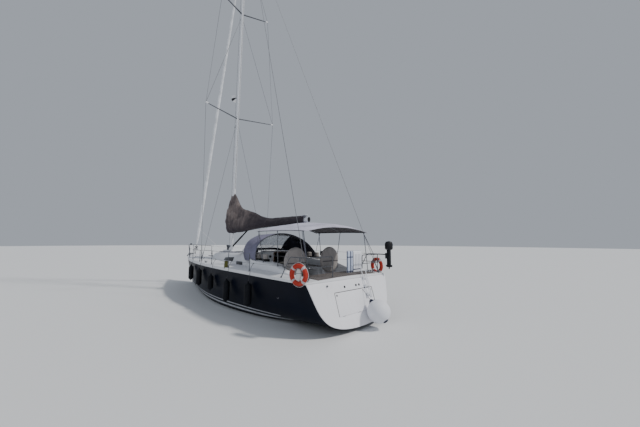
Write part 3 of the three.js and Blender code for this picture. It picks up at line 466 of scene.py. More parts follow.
@dataclass(frozen=True)
class Teak(Finish):
    """Weathered teak planks that run fore and aft, with dark caulking."""

    plank: float = 0.052
    caulk: float = 0.006

    def dress(self, bench: Bench) -> None:
        """Planks by their place across the boat, each with its own tone and grain.

        Args:
            bench: the finish's node tree.
        """
        _, y, _ = bench.axes()
        row = y / self.plank
        seam = 1 - (abs(row.fraction() - 0.5) * 2).ramp(1 - self.caulk / self.plank * 2.6, 1.0)
        tint = bench.node("ShaderNodeTexWhiteNoise", {"noise_dimensions": "1D"}, {"W": row.floor()})
        grain = bench.noise(1.0, 6.0, 0.65, bench.stretched((4.0, 60.0, 10.0)))
        dark = tuple(c * 0.55 for c in self.colour)
        pale = tuple(min(1.0, c * 1.35) for c in self.colour)
        tone = bench.mix(grain.ramp(0.3, 0.7), dark, self.colour)
        tone = bench.mix(tint * 0.55, tone, pale)
        worn = bench.noise(2.2, 4.0).ramp(0.5, 0.75)
        tone = bench.mix(worn * 0.3, tone, (0.24, 0.235, 0.235))
        tone = bench.mix(1 - seam, tone, (0.015, 0.014, 0.013))
        bench.feed(Base_Color=tone, Roughness=0.62 + grain * 0.25)
        bench.bump(seam * 1.5 + grain * 0.5, 0.0015, 0.7)


@dataclass(frozen=True)
class Steel(Finish):
    """Polished tube and castings, with light marks and tea stains."""

    stain: Colour = (0.3, 0.2, 0.12)
    marks: float = 1.0

    def dress(self, bench: Bench) -> None:
        """Fine scratches, dull patches and a trace of rust.

        Args:
            bench: the finish's node tree.
        """
        patch = bench.noise(9.0, 4.0, 0.6)
        fine = bench.noise(1.0, 5.0, 0.7, bench.stretched((220.0, 220.0, 30.0)))
        rust = bench.noise(26.0, 5.0, 0.7).ramp(0.66, 0.8) * 0.25 * self.marks
        tone = bench.mix(patch.ramp(0.35, 0.75) * 0.25, self.colour, tuple(c * 0.6 for c in self.colour))
        bench.feed(Base_Color=bench.mix(rust, tone, self.stain),
                   Roughness=self.roughness + patch * 0.12 + rust * 0.5)
        bench.bump(fine, 0.0003, 0.35)


@dataclass(frozen=True)
class Canvas(Finish):
    """Woven canvas with creases, and a painted highlight on the ridges of the creases."""

    weave: float = 420.0
    crease: float = 1.0
    # how much lighter the crease ridges are painted: a painted highlight
    fade: float = 1.25
    # colour of the painted shade in the folds near the mast, and of the darker tone aft and low on the cover
    deep: Optional[Colour] = None
    # colour of the painted shade on the sides that face core: inside the hood, under the awning
    lining: Optional[Colour] = None
    core: Triple = (0.0, 0.0, 0.0)

    def dress(self, bench: Bench) -> None:
        """Weave in two directions, creases, large soft patches, a painted highlight on the crease ridges, and
        painted shade in folds and on inner sides where given.

        Args:
            bench: the finish's node tree.
        """
        x, y, z = bench.axes()
        threads = ((x + y * 0.5) * self.weave).wave() * ((z + y * 0.5) * self.weave).wave()
        patch = bench.noise(1.6, 5.0, 0.6)
        fold = bench.noise(1.0, 4.0, 0.55, bench.stretched((2.4, 5.0, 5.0)))
        dark = tuple(c * 0.72 for c in self.colour)
        pale = tuple(min(1.0, c * self.fade) for c in self.colour)
        tone = bench.mix(patch.ramp(0.3, 0.7), dark, self.colour)
        # painted highlight: where the fold noise is high, the crease ridges are painted lighter
        tone = bench.mix(fold.ramp(0.5, 0.8) * 0.6, tone, pale)
        tone = bench.mix((threads * 0.5 + 0.5) * 0.08, tone, dark)
        if self.deep:
            # painted shade in the folds near the mast; the cover is also darker aft and low
            level = 1 - x.ramp(-1.9, 0.4) * z.ramp(3.2, 3.9)
            folds = bench.noise(1.0, 3.0, 0.6, bench.stretched((2.0, 3.0, 1.2))).ramp(0.3, 0.68)
            tone = bench.mix(level * 0.92 + (1 - level) * (1 - folds) * 0.75, tone, self.deep)
        # painted shade: faces that point towards core take the dark inner colour
        if self.lining:
            kind, inputs = "ShaderNodeVectorMath", {0: bench.place(), 1: self.core}
            outward = bench.node(kind, {"operation": "SUBTRACT"}, inputs)
            normal = bench.node("ShaderNodeNewGeometry", output="Normal")
            away = bench.node(kind, {"operation": "DOT_PRODUCT"}, {0: outward, 1: normal}, "Value")
            tone = bench.mix(1 - away.ramp(-0.05, 0.05), tone, self.lining)
        bench.feed(Base_Color=tone, Roughness=0.82 + patch * 0.12, Sheen_Weight=0.04, Sheen_Roughness=0.5,
                   Specular_IOR_Level=0.2)
        bench.bump(fold * self.crease + threads * 0.02, 0.02, 0.5)


@dataclass(frozen=True)
class Bare(Finish):
    """Plain moulded, cast or rubbed surface with small variation."""

    grain: float = 30.0
    depth: float = 0.0006
    wear: float = 0.2
    worn: Colour = (0.5, 0.5, 0.5)
    gloss: float = 0.14

    def dress(self, bench: Bench) -> None:
        """Small lumps, and wear in patches.

        Args:
            bench: the finish's node tree.
        """
        lumps = bench.noise(self.grain, 4.0, 0.6)
        patch = bench.noise(3.5, 5.0, 0.65)
        mask = patch.ramp(0.5, 0.8) * self.wear
        tone = bench.mix(mask, self.colour, self.worn)
        bench.feed(Base_Color=tone, Roughness=self.roughness + patch * 0.15, Specular_IOR_Level=self.gloss)
        bench.bump(lumps, self.depth, 0.6)


@dataclass(frozen=True)
class Pane(Finish):
    """Glazing: smoked acrylic, or clear vinyl that is seen through."""

    seen_through: float = 0.0

    def dress(self, bench: Bench) -> None:
        """Smears, and soft ripples in the sheet.

        Args:
            bench: the finish's node tree.
        """
        smear = bench.noise(4.0, 5.0, 0.6)
        ripple = bench.noise(1.0, 3.0, 0.5, bench.stretched((3.0, 6.0, 6.0)))
        haze = tuple(min(1.0, c * 1.6 + 0.02) for c in self.colour)
        bench.feed(Base_Color=bench.mix(smear.ramp(0.4, 0.8) * 0.4, self.colour, haze),
                   Roughness=self.roughness + smear * 0.08)
        if self.seen_through:
            bench.feed(Alpha=1 - self.seen_through + smear.ramp(0.4, 0.8) * 0.12)
        bench.bump(ripple, 0.004 if self.seen_through else 0.0004, 0.4)


@dataclass(frozen=True)
class Stripes(Finish):
    """White fabric with woven blue stripes, upright on the cushion."""

    blue: Colour = (0.006, 0.012, 0.055)
    pale_blue: Colour = (0.42, 0.5, 0.68)
    grey: Colour = (0.22, 0.24, 0.3)
    middle: float = -0.64
    # columns: first and last height of the bands, and of the upright bars across the boat
    bands: tuple = ((2.185, 2.225), (1.685, 1.73))
    bars: tuple = ((-0.335, -0.285), (-0.515, -0.455), (-0.64, -0.6))

    def dress(self, bench: Bench) -> None:
        """Checks on the port part, and fine upright stripes on the rest.

        Args:
            bench: the finish's node tree.
        """
        _, y, z = bench.axes()
        checked = y > self.middle
        tone = bench.mix(checked * 0.8, self.colour, self.pale_blue)
        fine = ((self.middle - y) / 0.085).fraction().span(0.1, 0.45, 0.08) * (y < self.middle - 0.03)
        tone = bench.mix(fine * z.span(1.8, 2.3, 0.02) * 0.8, tone, self.grey)
        for low, high in self.bands:
            tone = bench.mix(z.span(low, high, 0.006) * checked * 0.9, tone, self.blue)
        for low, high in self.bars:
            tone = bench.mix(y.span(low, high, 0.006) * 0.92, tone, self.blue)
        tone = bench.mix(z.span(1.745, 1.785, 0.006) * (y < self.middle), tone, self.blue)
        threads = (y * 700.0).wave() * (z * 700.0).wave()
        patch = bench.noise(5.0, 4.0)
        tone = bench.mix(patch.ramp(0.5, 0.9) * 0.25, tone, (0.5, 0.5, 0.52))
        bench.feed(Base_Color=tone, Roughness=0.85, Sheen_Weight=0.2)
        bench.bump(threads * 0.04 + patch * 0.6, 0.004, 0.5)


@dataclass(frozen=True)
class Twist(Finish):
    """Laid rope, its strands turning round it."""

    pitch: float = 260.0
    fleck: Colour = (0.5, 0.5, 0.5)

    def dress(self, bench: Bench) -> None:
        """Slanting strands and grubby patches.

        Args:
            bench: the finish's node tree.
        """
        x, y, z = bench.axes()
        strands = ((x + y + z * 1.7) * self.pitch).wave()
        patch = bench.noise(18.0, 4.0)
        tone = bench.mix((strands * 0.5 + 0.5) * 0.4, self.colour, self.fleck)
        bench.feed(Base_Color=bench.mix(patch.ramp(0.5, 0.8) * 0.3, tone, (0.25, 0.24, 0.22)), Roughness=0.85)
        bench.bump(strands, 0.001, 0.6)


HULL_ENAMEL = Enamel("hull_enamel", "hull_paint", (0.0055, 0.0075, 0.016), 0.2)
WHITE = Gelcoat("white_gelcoat", "gelcoat", (0.78, 0.79, 0.82), 0.32)
DECK_WHITE = Gelcoat("deck_gelcoat", "gelcoat", (0.72, 0.73, 0.76), 0.42, grip=1.0)
STERN_WHITE = Gelcoat("stern_gelcoat", "gelcoat", (0.82, 0.82, 0.86), 0.3)
# the deck teak's base colour is darkened to its tone in shade: painted shade; the grey worn patches are
# weathering
TEAK = Teak("weathered_teak", "teak", (0.13, 0.113, 0.108), 0.7)
TABLE_COVER = Canvas("table_cover", "teak", (0.5, 0.46, 0.4), 0.85)
ANTIFOUL = Bare("antifouling", "antifouling", (0.02, 0.024, 0.036), 0.7, grain=14.0, depth=0.002,
                worn=(0.05, 0.06, 0.05))
LEG_PAINT = Bare("leg_paint", "cast_alloy", (0.32, 0.34, 0.37), 0.45, worn=(0.2, 0.21, 0.2))
BRONZE = Steel("propeller_bronze", "bronze", (0.55, 0.36, 0.16), 0.28, 1.0, stain=(0.12, 0.25, 0.2))
STEEL = Steel("polished_steel", "stainless", (0.15, 0.156, 0.172), 0.22, 1.0)
WIRE = Steel("rigging_wire", "stainless", (0.17, 0.175, 0.19), 0.5, 0.5, marks=0.4)
ALLOY = Steel("anodised_spar", "spar_alloy", (0.82, 0.83, 0.86), 0.36, 0.35, marks=0.0)
DARK_ALLOY = Steel("dark_spreader", "spar_alloy", (0.1, 0.105, 0.12), 0.4, 0.6, marks=0.0)
BLACK = Bare("black_moulding", "gelcoat", (0.018, 0.019, 0.022), 0.38, worn=(0.08, 0.08, 0.085))
# the taupe cover gets a strong painted highlight on its crease ridges
COVER = Canvas("taupe_canvas", "canvas_taupe", (0.27, 0.22, 0.205), 0.85, crease=1.6, fade=1.9,
               # painted shade in the cover's folds, and its darker tone aft and low
               deep=(0.022, 0.018, 0.028))
BAG = Canvas("wheel_bag_canvas", "canvas_taupe", (0.43, 0.4, 0.385), 0.85, crease=0.7)
# hood and awning: their inner sides, facing core, get painted shade
HOOD = Canvas("lilac_canvas", "canvas_lilac", (0.19, 0.185, 0.265), 0.85, crease=0.5,
              lining=(0.035, 0.035, 0.05), core=(-2.7, 0.0, 2.2))
AWNING = Canvas("awning_canvas", "canvas_lilac", (0.57, 0.56, 0.68), 0.85, crease=0.35, fade=1.12,
                lining=(0.08, 0.075, 0.085), core=(-5.2, 0.0, 1.0))
VINYL = Pane("clear_vinyl", "clear_vinyl", (0.55, 0.6, 0.66), 0.08, seen_through=0.62)
SMOKED = Pane("smoked_acrylic", "tinted_window", (0.012, 0.014, 0.018), 0.06)
SAIL = Canvas("rolled_sail", "sailcloth", (0.88, 0.9, 0.94), 0.8, weave=700.0, crease=0.3, fade=1.05)
ORANGE = Bare("buoy_orange", "buoy_foam", (0.42, 0.04, 0.026), 0.5, grain=18.0, depth=0.0015, wear=0.3,
              worn=(0.85, 0.28, 0.16))
BAND = Bare("buoy_band", "buoy_foam", (0.5, 0.47, 0.48), 0.5, worn=(0.36, 0.3, 0.3))
FENDER_BLACK = Bare("fender_black", "fender_black", (0.006, 0.007, 0.01), 0.55, grain=60.0, wear=0.3,
                    worn=(0.05, 0.055, 0.07))
FENDER_WHITE = Bare("fender_white", "fender_white", (0.74, 0.75, 0.8), 0.38, wear=0.35,
                    worn=(0.48, 0.48, 0.5))
FENDER_BLUE = Bare("fender_blue", "fender_white", (0.006, 0.01, 0.032), 0.4, worn=(0.06, 0.08, 0.16))
WINCH_HOOD = Canvas("winch_hood_canvas", "canvas_taupe", (0.42, 0.39, 0.37), 0.85, crease=0.6)
BAG_TRIM = Canvas("bag_trim", "canvas_taupe", (0.15, 0.14, 0.15), 0.85, crease=0.3)
COVER_TRIM = Canvas("cover_trim", "canvas_taupe", (0.1, 0.088, 0.09), 0.85, crease=0.3)
HOOD_TRIM = Canvas("hood_trim", "canvas_lilac", (0.13, 0.13, 0.17), 0.85, crease=0.3)
AWNING_TRIM = Canvas("awning_trim", "canvas_lilac", (0.52, 0.51, 0.57), 0.85, crease=0.3)
POUCH = Canvas("pouch_fabric", "sailcloth", (0.74, 0.73, 0.71), 0.8, weave=600.0, crease=0.6)
OLIVE = Canvas("olive_canvas", "canvas_taupe", (0.1, 0.1, 0.025), 0.85, crease=0.8, fade=1.6)
PIPING = Canvas("cushion_piping", "striped_fabric", (0.5, 0.54, 0.64), 0.85, crease=0.2)
TEAK_TRIM = Teak("varnished_frame", "teak", (0.2, 0.11, 0.055), 0.45)
STRIPED = Stripes("striped_fabric", "striped_fabric", (0.8, 0.82, 0.88), 0.85)
ROPE = Twist("white_rope", "sailcloth", (0.72, 0.72, 0.72))
DARK_ROPE = Twist("dark_rope", "fender_black", (0.03, 0.032, 0.04), fleck=(0.1, 0.1, 0.12))
FLOOR_PALE = Bare("studio_floor", "gelcoat", (0.72, 0.73, 0.74), 0.6, grain=2.0, depth=0.0005, wear=0.0)


class Form:
    """A mesh in the making, in the yacht's own frame."""

    def __init__(self, name: str) -> None:
        """Starts an empty mesh."""
        self.name = name
        self.mesh = bmesh.new()

    def skin(self, place: Callable[[float, float], Vector], along: int, around: int,
             keep: Optional[Callable[[float, float], bool]] = None) -> "Form":
        """Adds a surface.

        Args:
            place: point of the surface from its two shares.
            along: faces by the first share.
            around: faces by the second share.
            keep: whether there is cloth at two shares, everywhere if not given.

        Returns:
            This form.
        """
        grid = bmesh.ops.create_grid(self.mesh, x_segments=along, y_segments=around, size=0.5)
        verts = grid["verts"]
        if keep:
            faces = {face for vert in verts for face in vert.link_faces}
            middles = {face: face.calc_center_median() for face in faces}
            gone = [face for face, middle in middles.items() if not keep(middle.x + 0.5, middle.y + 0.5)]
            bmesh.ops.delete(self.mesh, geom=gone, context="FACES")
            verts = [vert for vert in verts if vert.is_valid]
        for vert in verts:
            vert.co = place(vert.co.x + 0.5, vert.co.y + 0.5)
        return self

    def turned(self, profile: Sequence[tuple[float, float]], foot: Vector, way: Vector,
               steps: int = 32) -> "Form":
        """Adds a turned form.

        Args:
            profile: distance along the axis and radius, point by point.
            foot: where the axis starts.
            way: the axis.
            steps: faces round it.

        Returns:
            This form.
        """
        count = len(self.mesh.verts)
        verts = [self.mesh.verts.new((radius, 0, along)) for along, radius in profile]
        edges = [self.mesh.edges.new(pair) for pair in zip(verts, verts[1:])]
        bmesh.ops.spin(self.mesh, geom=verts + edges, cent=(0, 0, 0), axis=(0, 0, 1), dvec=(0, 0, 0),
                       angle=math.tau, steps=steps, use_merge=True)
        turn = Matrix.Translation(foot) @ way.to_track_quat("Z", "Y").to_matrix().to_4x4()
        self.mesh.verts.ensure_lookup_table()
        bmesh.ops.transform(self.mesh, matrix=turn, verts=self.mesh.verts[count:])
        return self

    def block(self, low: Vector, high: Vector, bevel: float = 0.0, segments: int = 2) -> "Form":
        """Adds a block.

        Args:
            low: its lowest corner.
            high: its highest corner.
            bevel: width of its rounded edges.
            segments: facets across a rounded edge.

        Returns:
            This form.
        """
        matrix = Matrix.Translation((low + high) / 2) @ Matrix.Diagonal((*(high - low), 1.0))
        made = bmesh.ops.create_cube(self.mesh, size=1.0, matrix=matrix)
        if bevel:
            self._bevel({edge for vert in made["verts"] for edge in vert.link_edges}, bevel, segments)
        return self

    def _bevel(self, edges: Iterable[bmesh.types.BMEdge], width: float, segments: int = 2) -> None:
        """Rounds edges."""
        bmesh.ops.bevel(self.mesh, geom=list(edges), offset=width, offset_type="OFFSET", segments=segments,
                        profile=0.5, affect="EDGES", material=-1, clamp_overlap=True)

    def plate(self, outline: Sequence[Vector], push: Vector, bevel: float = 0.0) -> "Form":
        """Adds a plate: an outline pushed through.

        Args:
            outline: corners of one face.
            push: from that face to the other.
            bevel: width of its rounded edges.

        Returns:
            This form.
        """
        face = self.mesh.faces.new([self.mesh.verts.new(point) for point in outline])
        made = bmesh.ops.extrude_face_region(self.mesh, geom=[face], use_keep_orig=True)
        far = [item for item in made["geom"] if isinstance(item, bmesh.types.BMVert)]
        bmesh.ops.translate(self.mesh, vec=push, verts=far)
        if bevel:
            rim = {edge for vert in far for edge in vert.link_edges if edge.other_vert(vert) in far}
            self._bevel(rim | set(face.edges), bevel)
        return self

    def tube(self, route: Sequence[Vector], radius: float, sides: int = 10, closed: bool = False) -> "Form":
        """Adds a round tube along a route.

        Args:
            route: points of its middle line.
            radius: half its thickness.
            sides: faces round it.
            closed: whether its ends meet.

        Returns:
            This form.
        """
        curve = bpy.data.curves.new("route", "CURVE")
        curve.dimensions = "3D"
        curve.bevel_depth = radius
        curve.bevel_resolution = max(0, (sides - 4) // 2)
        curve.use_fill_caps = True
        spline = curve.splines.new("POLY")
        spline.points.add(len(route) - 1)
        for point, place in zip(spline.points, route):
            point.co = (*place, 1.0)
        spline.use_cyclic_u = closed
        holder = bpy.data.objects.new("route", curve)
        made = bpy.data.meshes.new_from_object(holder)
        self.mesh.from_mesh(made)
        bpy.data.objects.remove(holder)
        bpy.data.curves.remove(curve)
        bpy.data.meshes.remove(made)
        return self

    def ball(self, centre: Vector, radius: float, steps: int) -> "Form":
        """Adds a ball with a number of faces round it."""
        bmesh.ops.create_uvsphere(self.mesh, u_segments=steps, v_segments=steps // 2, radius=radius,
                                  matrix=Matrix.Translation(centre))
        return self

    def cad(self, node: str) -> "Form":
        """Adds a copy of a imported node's mesh."""
        self.mesh.from_mesh(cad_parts[node].data)
        return self

    def merged(self) -> "Form":
        """Joins doubled corners."""
        bmesh.ops.remove_doubles(self.mesh, verts=self.mesh.verts, dist=2e-5)
        return self

    def capped(self) -> "Form":
        """Closes every open rim.

        Returns:
            This form.
        """
        self.merged()
        rims = [edge for edge in self.mesh.edges if edge.is_boundary]
        bmesh.ops.holes_fill(self.mesh, edges=rims, sides=0)
        return self

    def flats_joined(self) -> "Form":
        """Joins faces that lie flat together."""
        bmesh.ops.dissolve_limit(self.mesh, angle_limit=math.radians(0.4), use_dissolve_boundaries=False,
                                 verts=self.mesh.verts, edges=self.mesh.edges, delimit=set())
        return self

    def softened(self, width: float, sharper_than: float = 32.0, segments: int = 2) -> "Form":
        """Rounds sharp edges.

        Args:
            width: width of the rounding.
            sharper_than: angle from which an edge is sharp, in degrees.
            segments: facets across a rounded edge.

        Returns:
            This form.
        """
        limit = math.radians(sharper_than)
        edges = [e for e in self.mesh.edges if e.is_manifold and e.calc_face_angle(0.0) > limit]
        self._bevel(edges, width, segments)
        return self

    def pushed(self, amount: Callable[[Vector], float]) -> "Form":
        """Pushes every corner along its normal.

        Args:
            amount: how far, from the corner's place.

        Returns:
            This form.
        """
        self.mesh.normal_update()
        for vert in self.mesh.verts:
            vert.co = vert.co + vert.normal * amount(vert.co)
        return self

    def walled(self, thickness: float) -> "Form":
        """Gives an open sheet a wall.

        Args:
            thickness: its thickness, minus for a wall on the inner side.

        Returns:
            This form.
        """
        self.merged()
        bmesh.ops.recalc_face_normals(self.mesh, faces=self.mesh.faces)
        bmesh.ops.solidify(self.mesh, geom=self.mesh.faces[:], thickness=thickness)
        return self

    def piece(self, finish: Finish, body: str = "root", replaces: Sequence[str] = (), smooth: float = 35.0,
              recalc: bool = True, across: Optional[tuple] = None) -> bpy.types.Object:
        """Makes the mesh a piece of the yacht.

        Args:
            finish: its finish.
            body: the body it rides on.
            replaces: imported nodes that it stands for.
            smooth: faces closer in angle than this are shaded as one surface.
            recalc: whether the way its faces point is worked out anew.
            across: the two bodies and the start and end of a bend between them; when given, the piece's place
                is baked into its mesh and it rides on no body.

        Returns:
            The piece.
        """
        self.merged()
        if recalc:
            bmesh.ops.recalc_face_normals(self.mesh, faces=self.mesh.faces)
        if self.mesh.calc_volume(signed=True) < 0:
            bmesh.ops.reverse_faces(self.mesh, faces=self.mesh.faces)
        mesh = bpy.data.meshes.new(self.name)
        self.mesh.to_mesh(mesh)
        self.mesh.free()
        mesh.polygons.foreach_set("use_smooth", [True] * len(mesh.polygons))
        mesh.set_sharp_from_angle(angle=math.radians(smooth))
        made = bpy.data.objects.new(self.name, mesh)
        bpy.context.scene.collection.objects.link(made)
        mesh.materials.append(finish.material())
        if across:
            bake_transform(made)
        else:
            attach(made, body)
        if replaces:
            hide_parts(*replaces)
        LOG.info("piece %s on %s, %d faces", self.name, body, len(mesh.polygons))
        return made

    def cloth(self, finish: Finish, flat: tuple[float, float], held: str, rests_on: Sequence[str],
              area: Optional[float] = None, body: str = "root", replaces: Sequence[str] = (),
              wall: float = 0.003, across: Optional[tuple] = None) -> bpy.types.Object:
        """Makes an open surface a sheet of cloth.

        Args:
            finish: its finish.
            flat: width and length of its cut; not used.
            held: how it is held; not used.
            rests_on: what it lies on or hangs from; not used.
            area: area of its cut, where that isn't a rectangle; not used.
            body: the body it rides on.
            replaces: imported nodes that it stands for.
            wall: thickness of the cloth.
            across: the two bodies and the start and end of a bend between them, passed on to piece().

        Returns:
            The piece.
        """
        made = self.walled(-wall).piece(finish, body, replaces, 50.0, across=across)
        return made


def wrinkle(place: Vector, scale: Sequence[float], height: float) -> float:
    """Height of soft creases at a place.

    Args:
        place: the point.
        scale: creases in a metre along each axis.
        height: how deep they are.

    Returns:
        The height, from minus to plus about the depth.
    """
    spot = Vector((place.x * scale[0], place.y * scale[1], place.z * scale[2]))
    return noise.fractal(spot, 1.0, 2.0, 3) * height


def dress_node(name: str, finish: Finish) -> None:
    """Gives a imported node, whose shape is kept, its finish.

    Args:
        name: the node.
        finish: its finish.
    """
    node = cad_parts[name]
    for place in node.material_slots:
        place.material = finish.material()
    LOG.info("node %s keeps its shape", name)


def eased(name: str, finish: Finish, body: str = "root", width: float = 0.006, smooth: float = 35.0) -> None:
    """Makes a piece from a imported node's own shape with its edges rounded.

    Args:
        name: the node.
        finish: its finish.
        body: the body it rides on.
        width: width of the rounding, none if 0.
        smooth: faces closer in angle than this are shaded as one surface.
    """
    form = Form(f"{name}_shape").cad(name).merged().flats_joined()
    if width:
        form.softened(width)
    form.piece(finish, body, [name], smooth)


@dataclass
class HullForm:
    """The hull's lines, as the solids have them."""

    length: float = 14.2
    transom_slope: float = 0.5 / 1.565
    transom_blend: float = 1.4
    stem_start: float = 12.2
    stem_rake: float = 0.21
    proud: float = 0.004
    nose: float = 0.02
    nose_share: float = 0.04
    deck_crown: float = 0.06
    deck_lip: float = 0.018
    # columns: from stern, half beam, sheer, keel line height, topside tuck, topside reach, bottom fullness
    rows: tuple = (
        (0.0, 1.98, 1.53, 0.14, 0.84, 0.62, 0.9), (1.4, 2.06, 1.55, 0.02, 0.9, 0.62, 0.9),
        (3.6, 2.12, 1.58, -0.36, 0.96, 0.72, 0.72), (5.6, 2.14, 1.61, -0.53, 0.98, 0.74, 0.66),
        (7.4, 2.04, 1.64, -0.58, 0.95, 0.74, 0.55), (9.2, 1.755, 1.66, -0.54, 0.885, 0.72, 0.425),
        (10.8, 1.35, 1.68, -0.46, 0.81, 0.7, 0.315), (12.2, 0.88, 1.7, -0.34, 0.73, 0.66, 0.23),
        (13.3, 0.465, 1.715, -0.2, 0.64, 0.6, 0.17), (14.0, 0.17, 1.725, -0.08, 0.56, 0.55, 0.14),
        (14.2, 0.045, 1.73, -0.02, 0.7, 0.5, 0.4),
    )

    def __post_init__(self) -> None:
        """Readies the lines."""
        self.lines = Lines(self.rows)

    def point(self, x: float, t: float, proud: float = 0.0) -> Vector:
        """Point of the port side.

        Args:
            x: length from the stern.
            t: share down the side, from the sheer to the keel line.
            proud: how far it stands off the solid.

        Returns:
            The point, its length still from the stern.
        """
        beam, sheer, keel, tuck, reach, fullness = self.lines.read(x)
        s = 1 - t
        y = s ** 3 * beam + 3 * s * s * t * beam * tuck + 3 * s * t * t * beam * fullness
        knuckle = sheer - reach * (sheer - keel)
        z = s ** 3 * sheer + 3 * s * s * t * knuckle + (3 * s * t * t + t ** 3) * keel
        aft = self.transom_slope * (sheer - z) * max(0.0, 1 - x / self.transom_blend)
        bow = max(0.0, (x - self.stem_start) / (self.length - self.stem_start)) ** 1.5
        along = x - aft - bow * self.stem_rake * max(0.0, sheer - z) ** 1.85
        return Vector((along, y + proud * (1 - t ** 3), z - proud * t ** 2))

    def skin_point(self, share: float, across: float) -> Vector:
        """Point of the finished skin, whose stem is rounded.

        Args:
            share: share along, from stern to stem.
            across: share round, from port over the keel to starboard.

        Returns:
            The point.
        """
        reach = share * (1 + self.nose_share)
        side = 1.0 if across < 0.5 else -1.0
        spot = self.point(self.length * min(1.0, reach), 1 - abs(across - 0.5) * 2, self.proud)
        beyond = max(0.0, (reach - 1) / self.nose_share)
        spot.y *= math.sqrt(max(0.0, 1 - beyond ** 2)) * side
        spot.x += self.nose * beyond
        return at(*spot)

    def beam(self, x: float) -> float:
        """Half beam at the sheer at a length."""
        return self.lines.read(x)[0]

    def side(self, x: float, z: float) -> float:
        """Half beam of the skin at a length and a height."""
        spots = [self.point(x, i / 60) for i in range(61)]
        return next(spot.y for spot in spots if spot.z <= z)

    def deck(self, x: float, y: float) -> float:
        """Height of the deck's surface.

        Args:
            x: length from the stern.
            y: distance from the middle line.

        Returns:
            The height.
        """
        beam, sheer = self.lines.read(x)[:2]
        band = 0.04 + 0.08 * min(1.0, x / 2.2) ** 0.8
        return sheer + band + self.deck_crown * (1 - (y / (beam + self.deck_lip)) ** 2) * min(1.0, beam)


HULL = HullForm()
POSTS = (2.95, 4.48, 6.05, 7.65, 9.25, 10.9)
BOW_FOOT = 12.5
STERN_FOOT = 1.15
RAIL_INSET = 0.06
# length from the stern and half width of each lifebuoy's middle
BUOY_PLACES = {Side.PORT: (0.17, 2.102), Side.STARBOARD: (0.43, 2.126)}


def flange(form: Form, profile: Sequence[tuple[float, float]], foot: Vector) -> None:
    """Adds an upright turned foot."""
    form.turned(profile, foot, UP, 20)


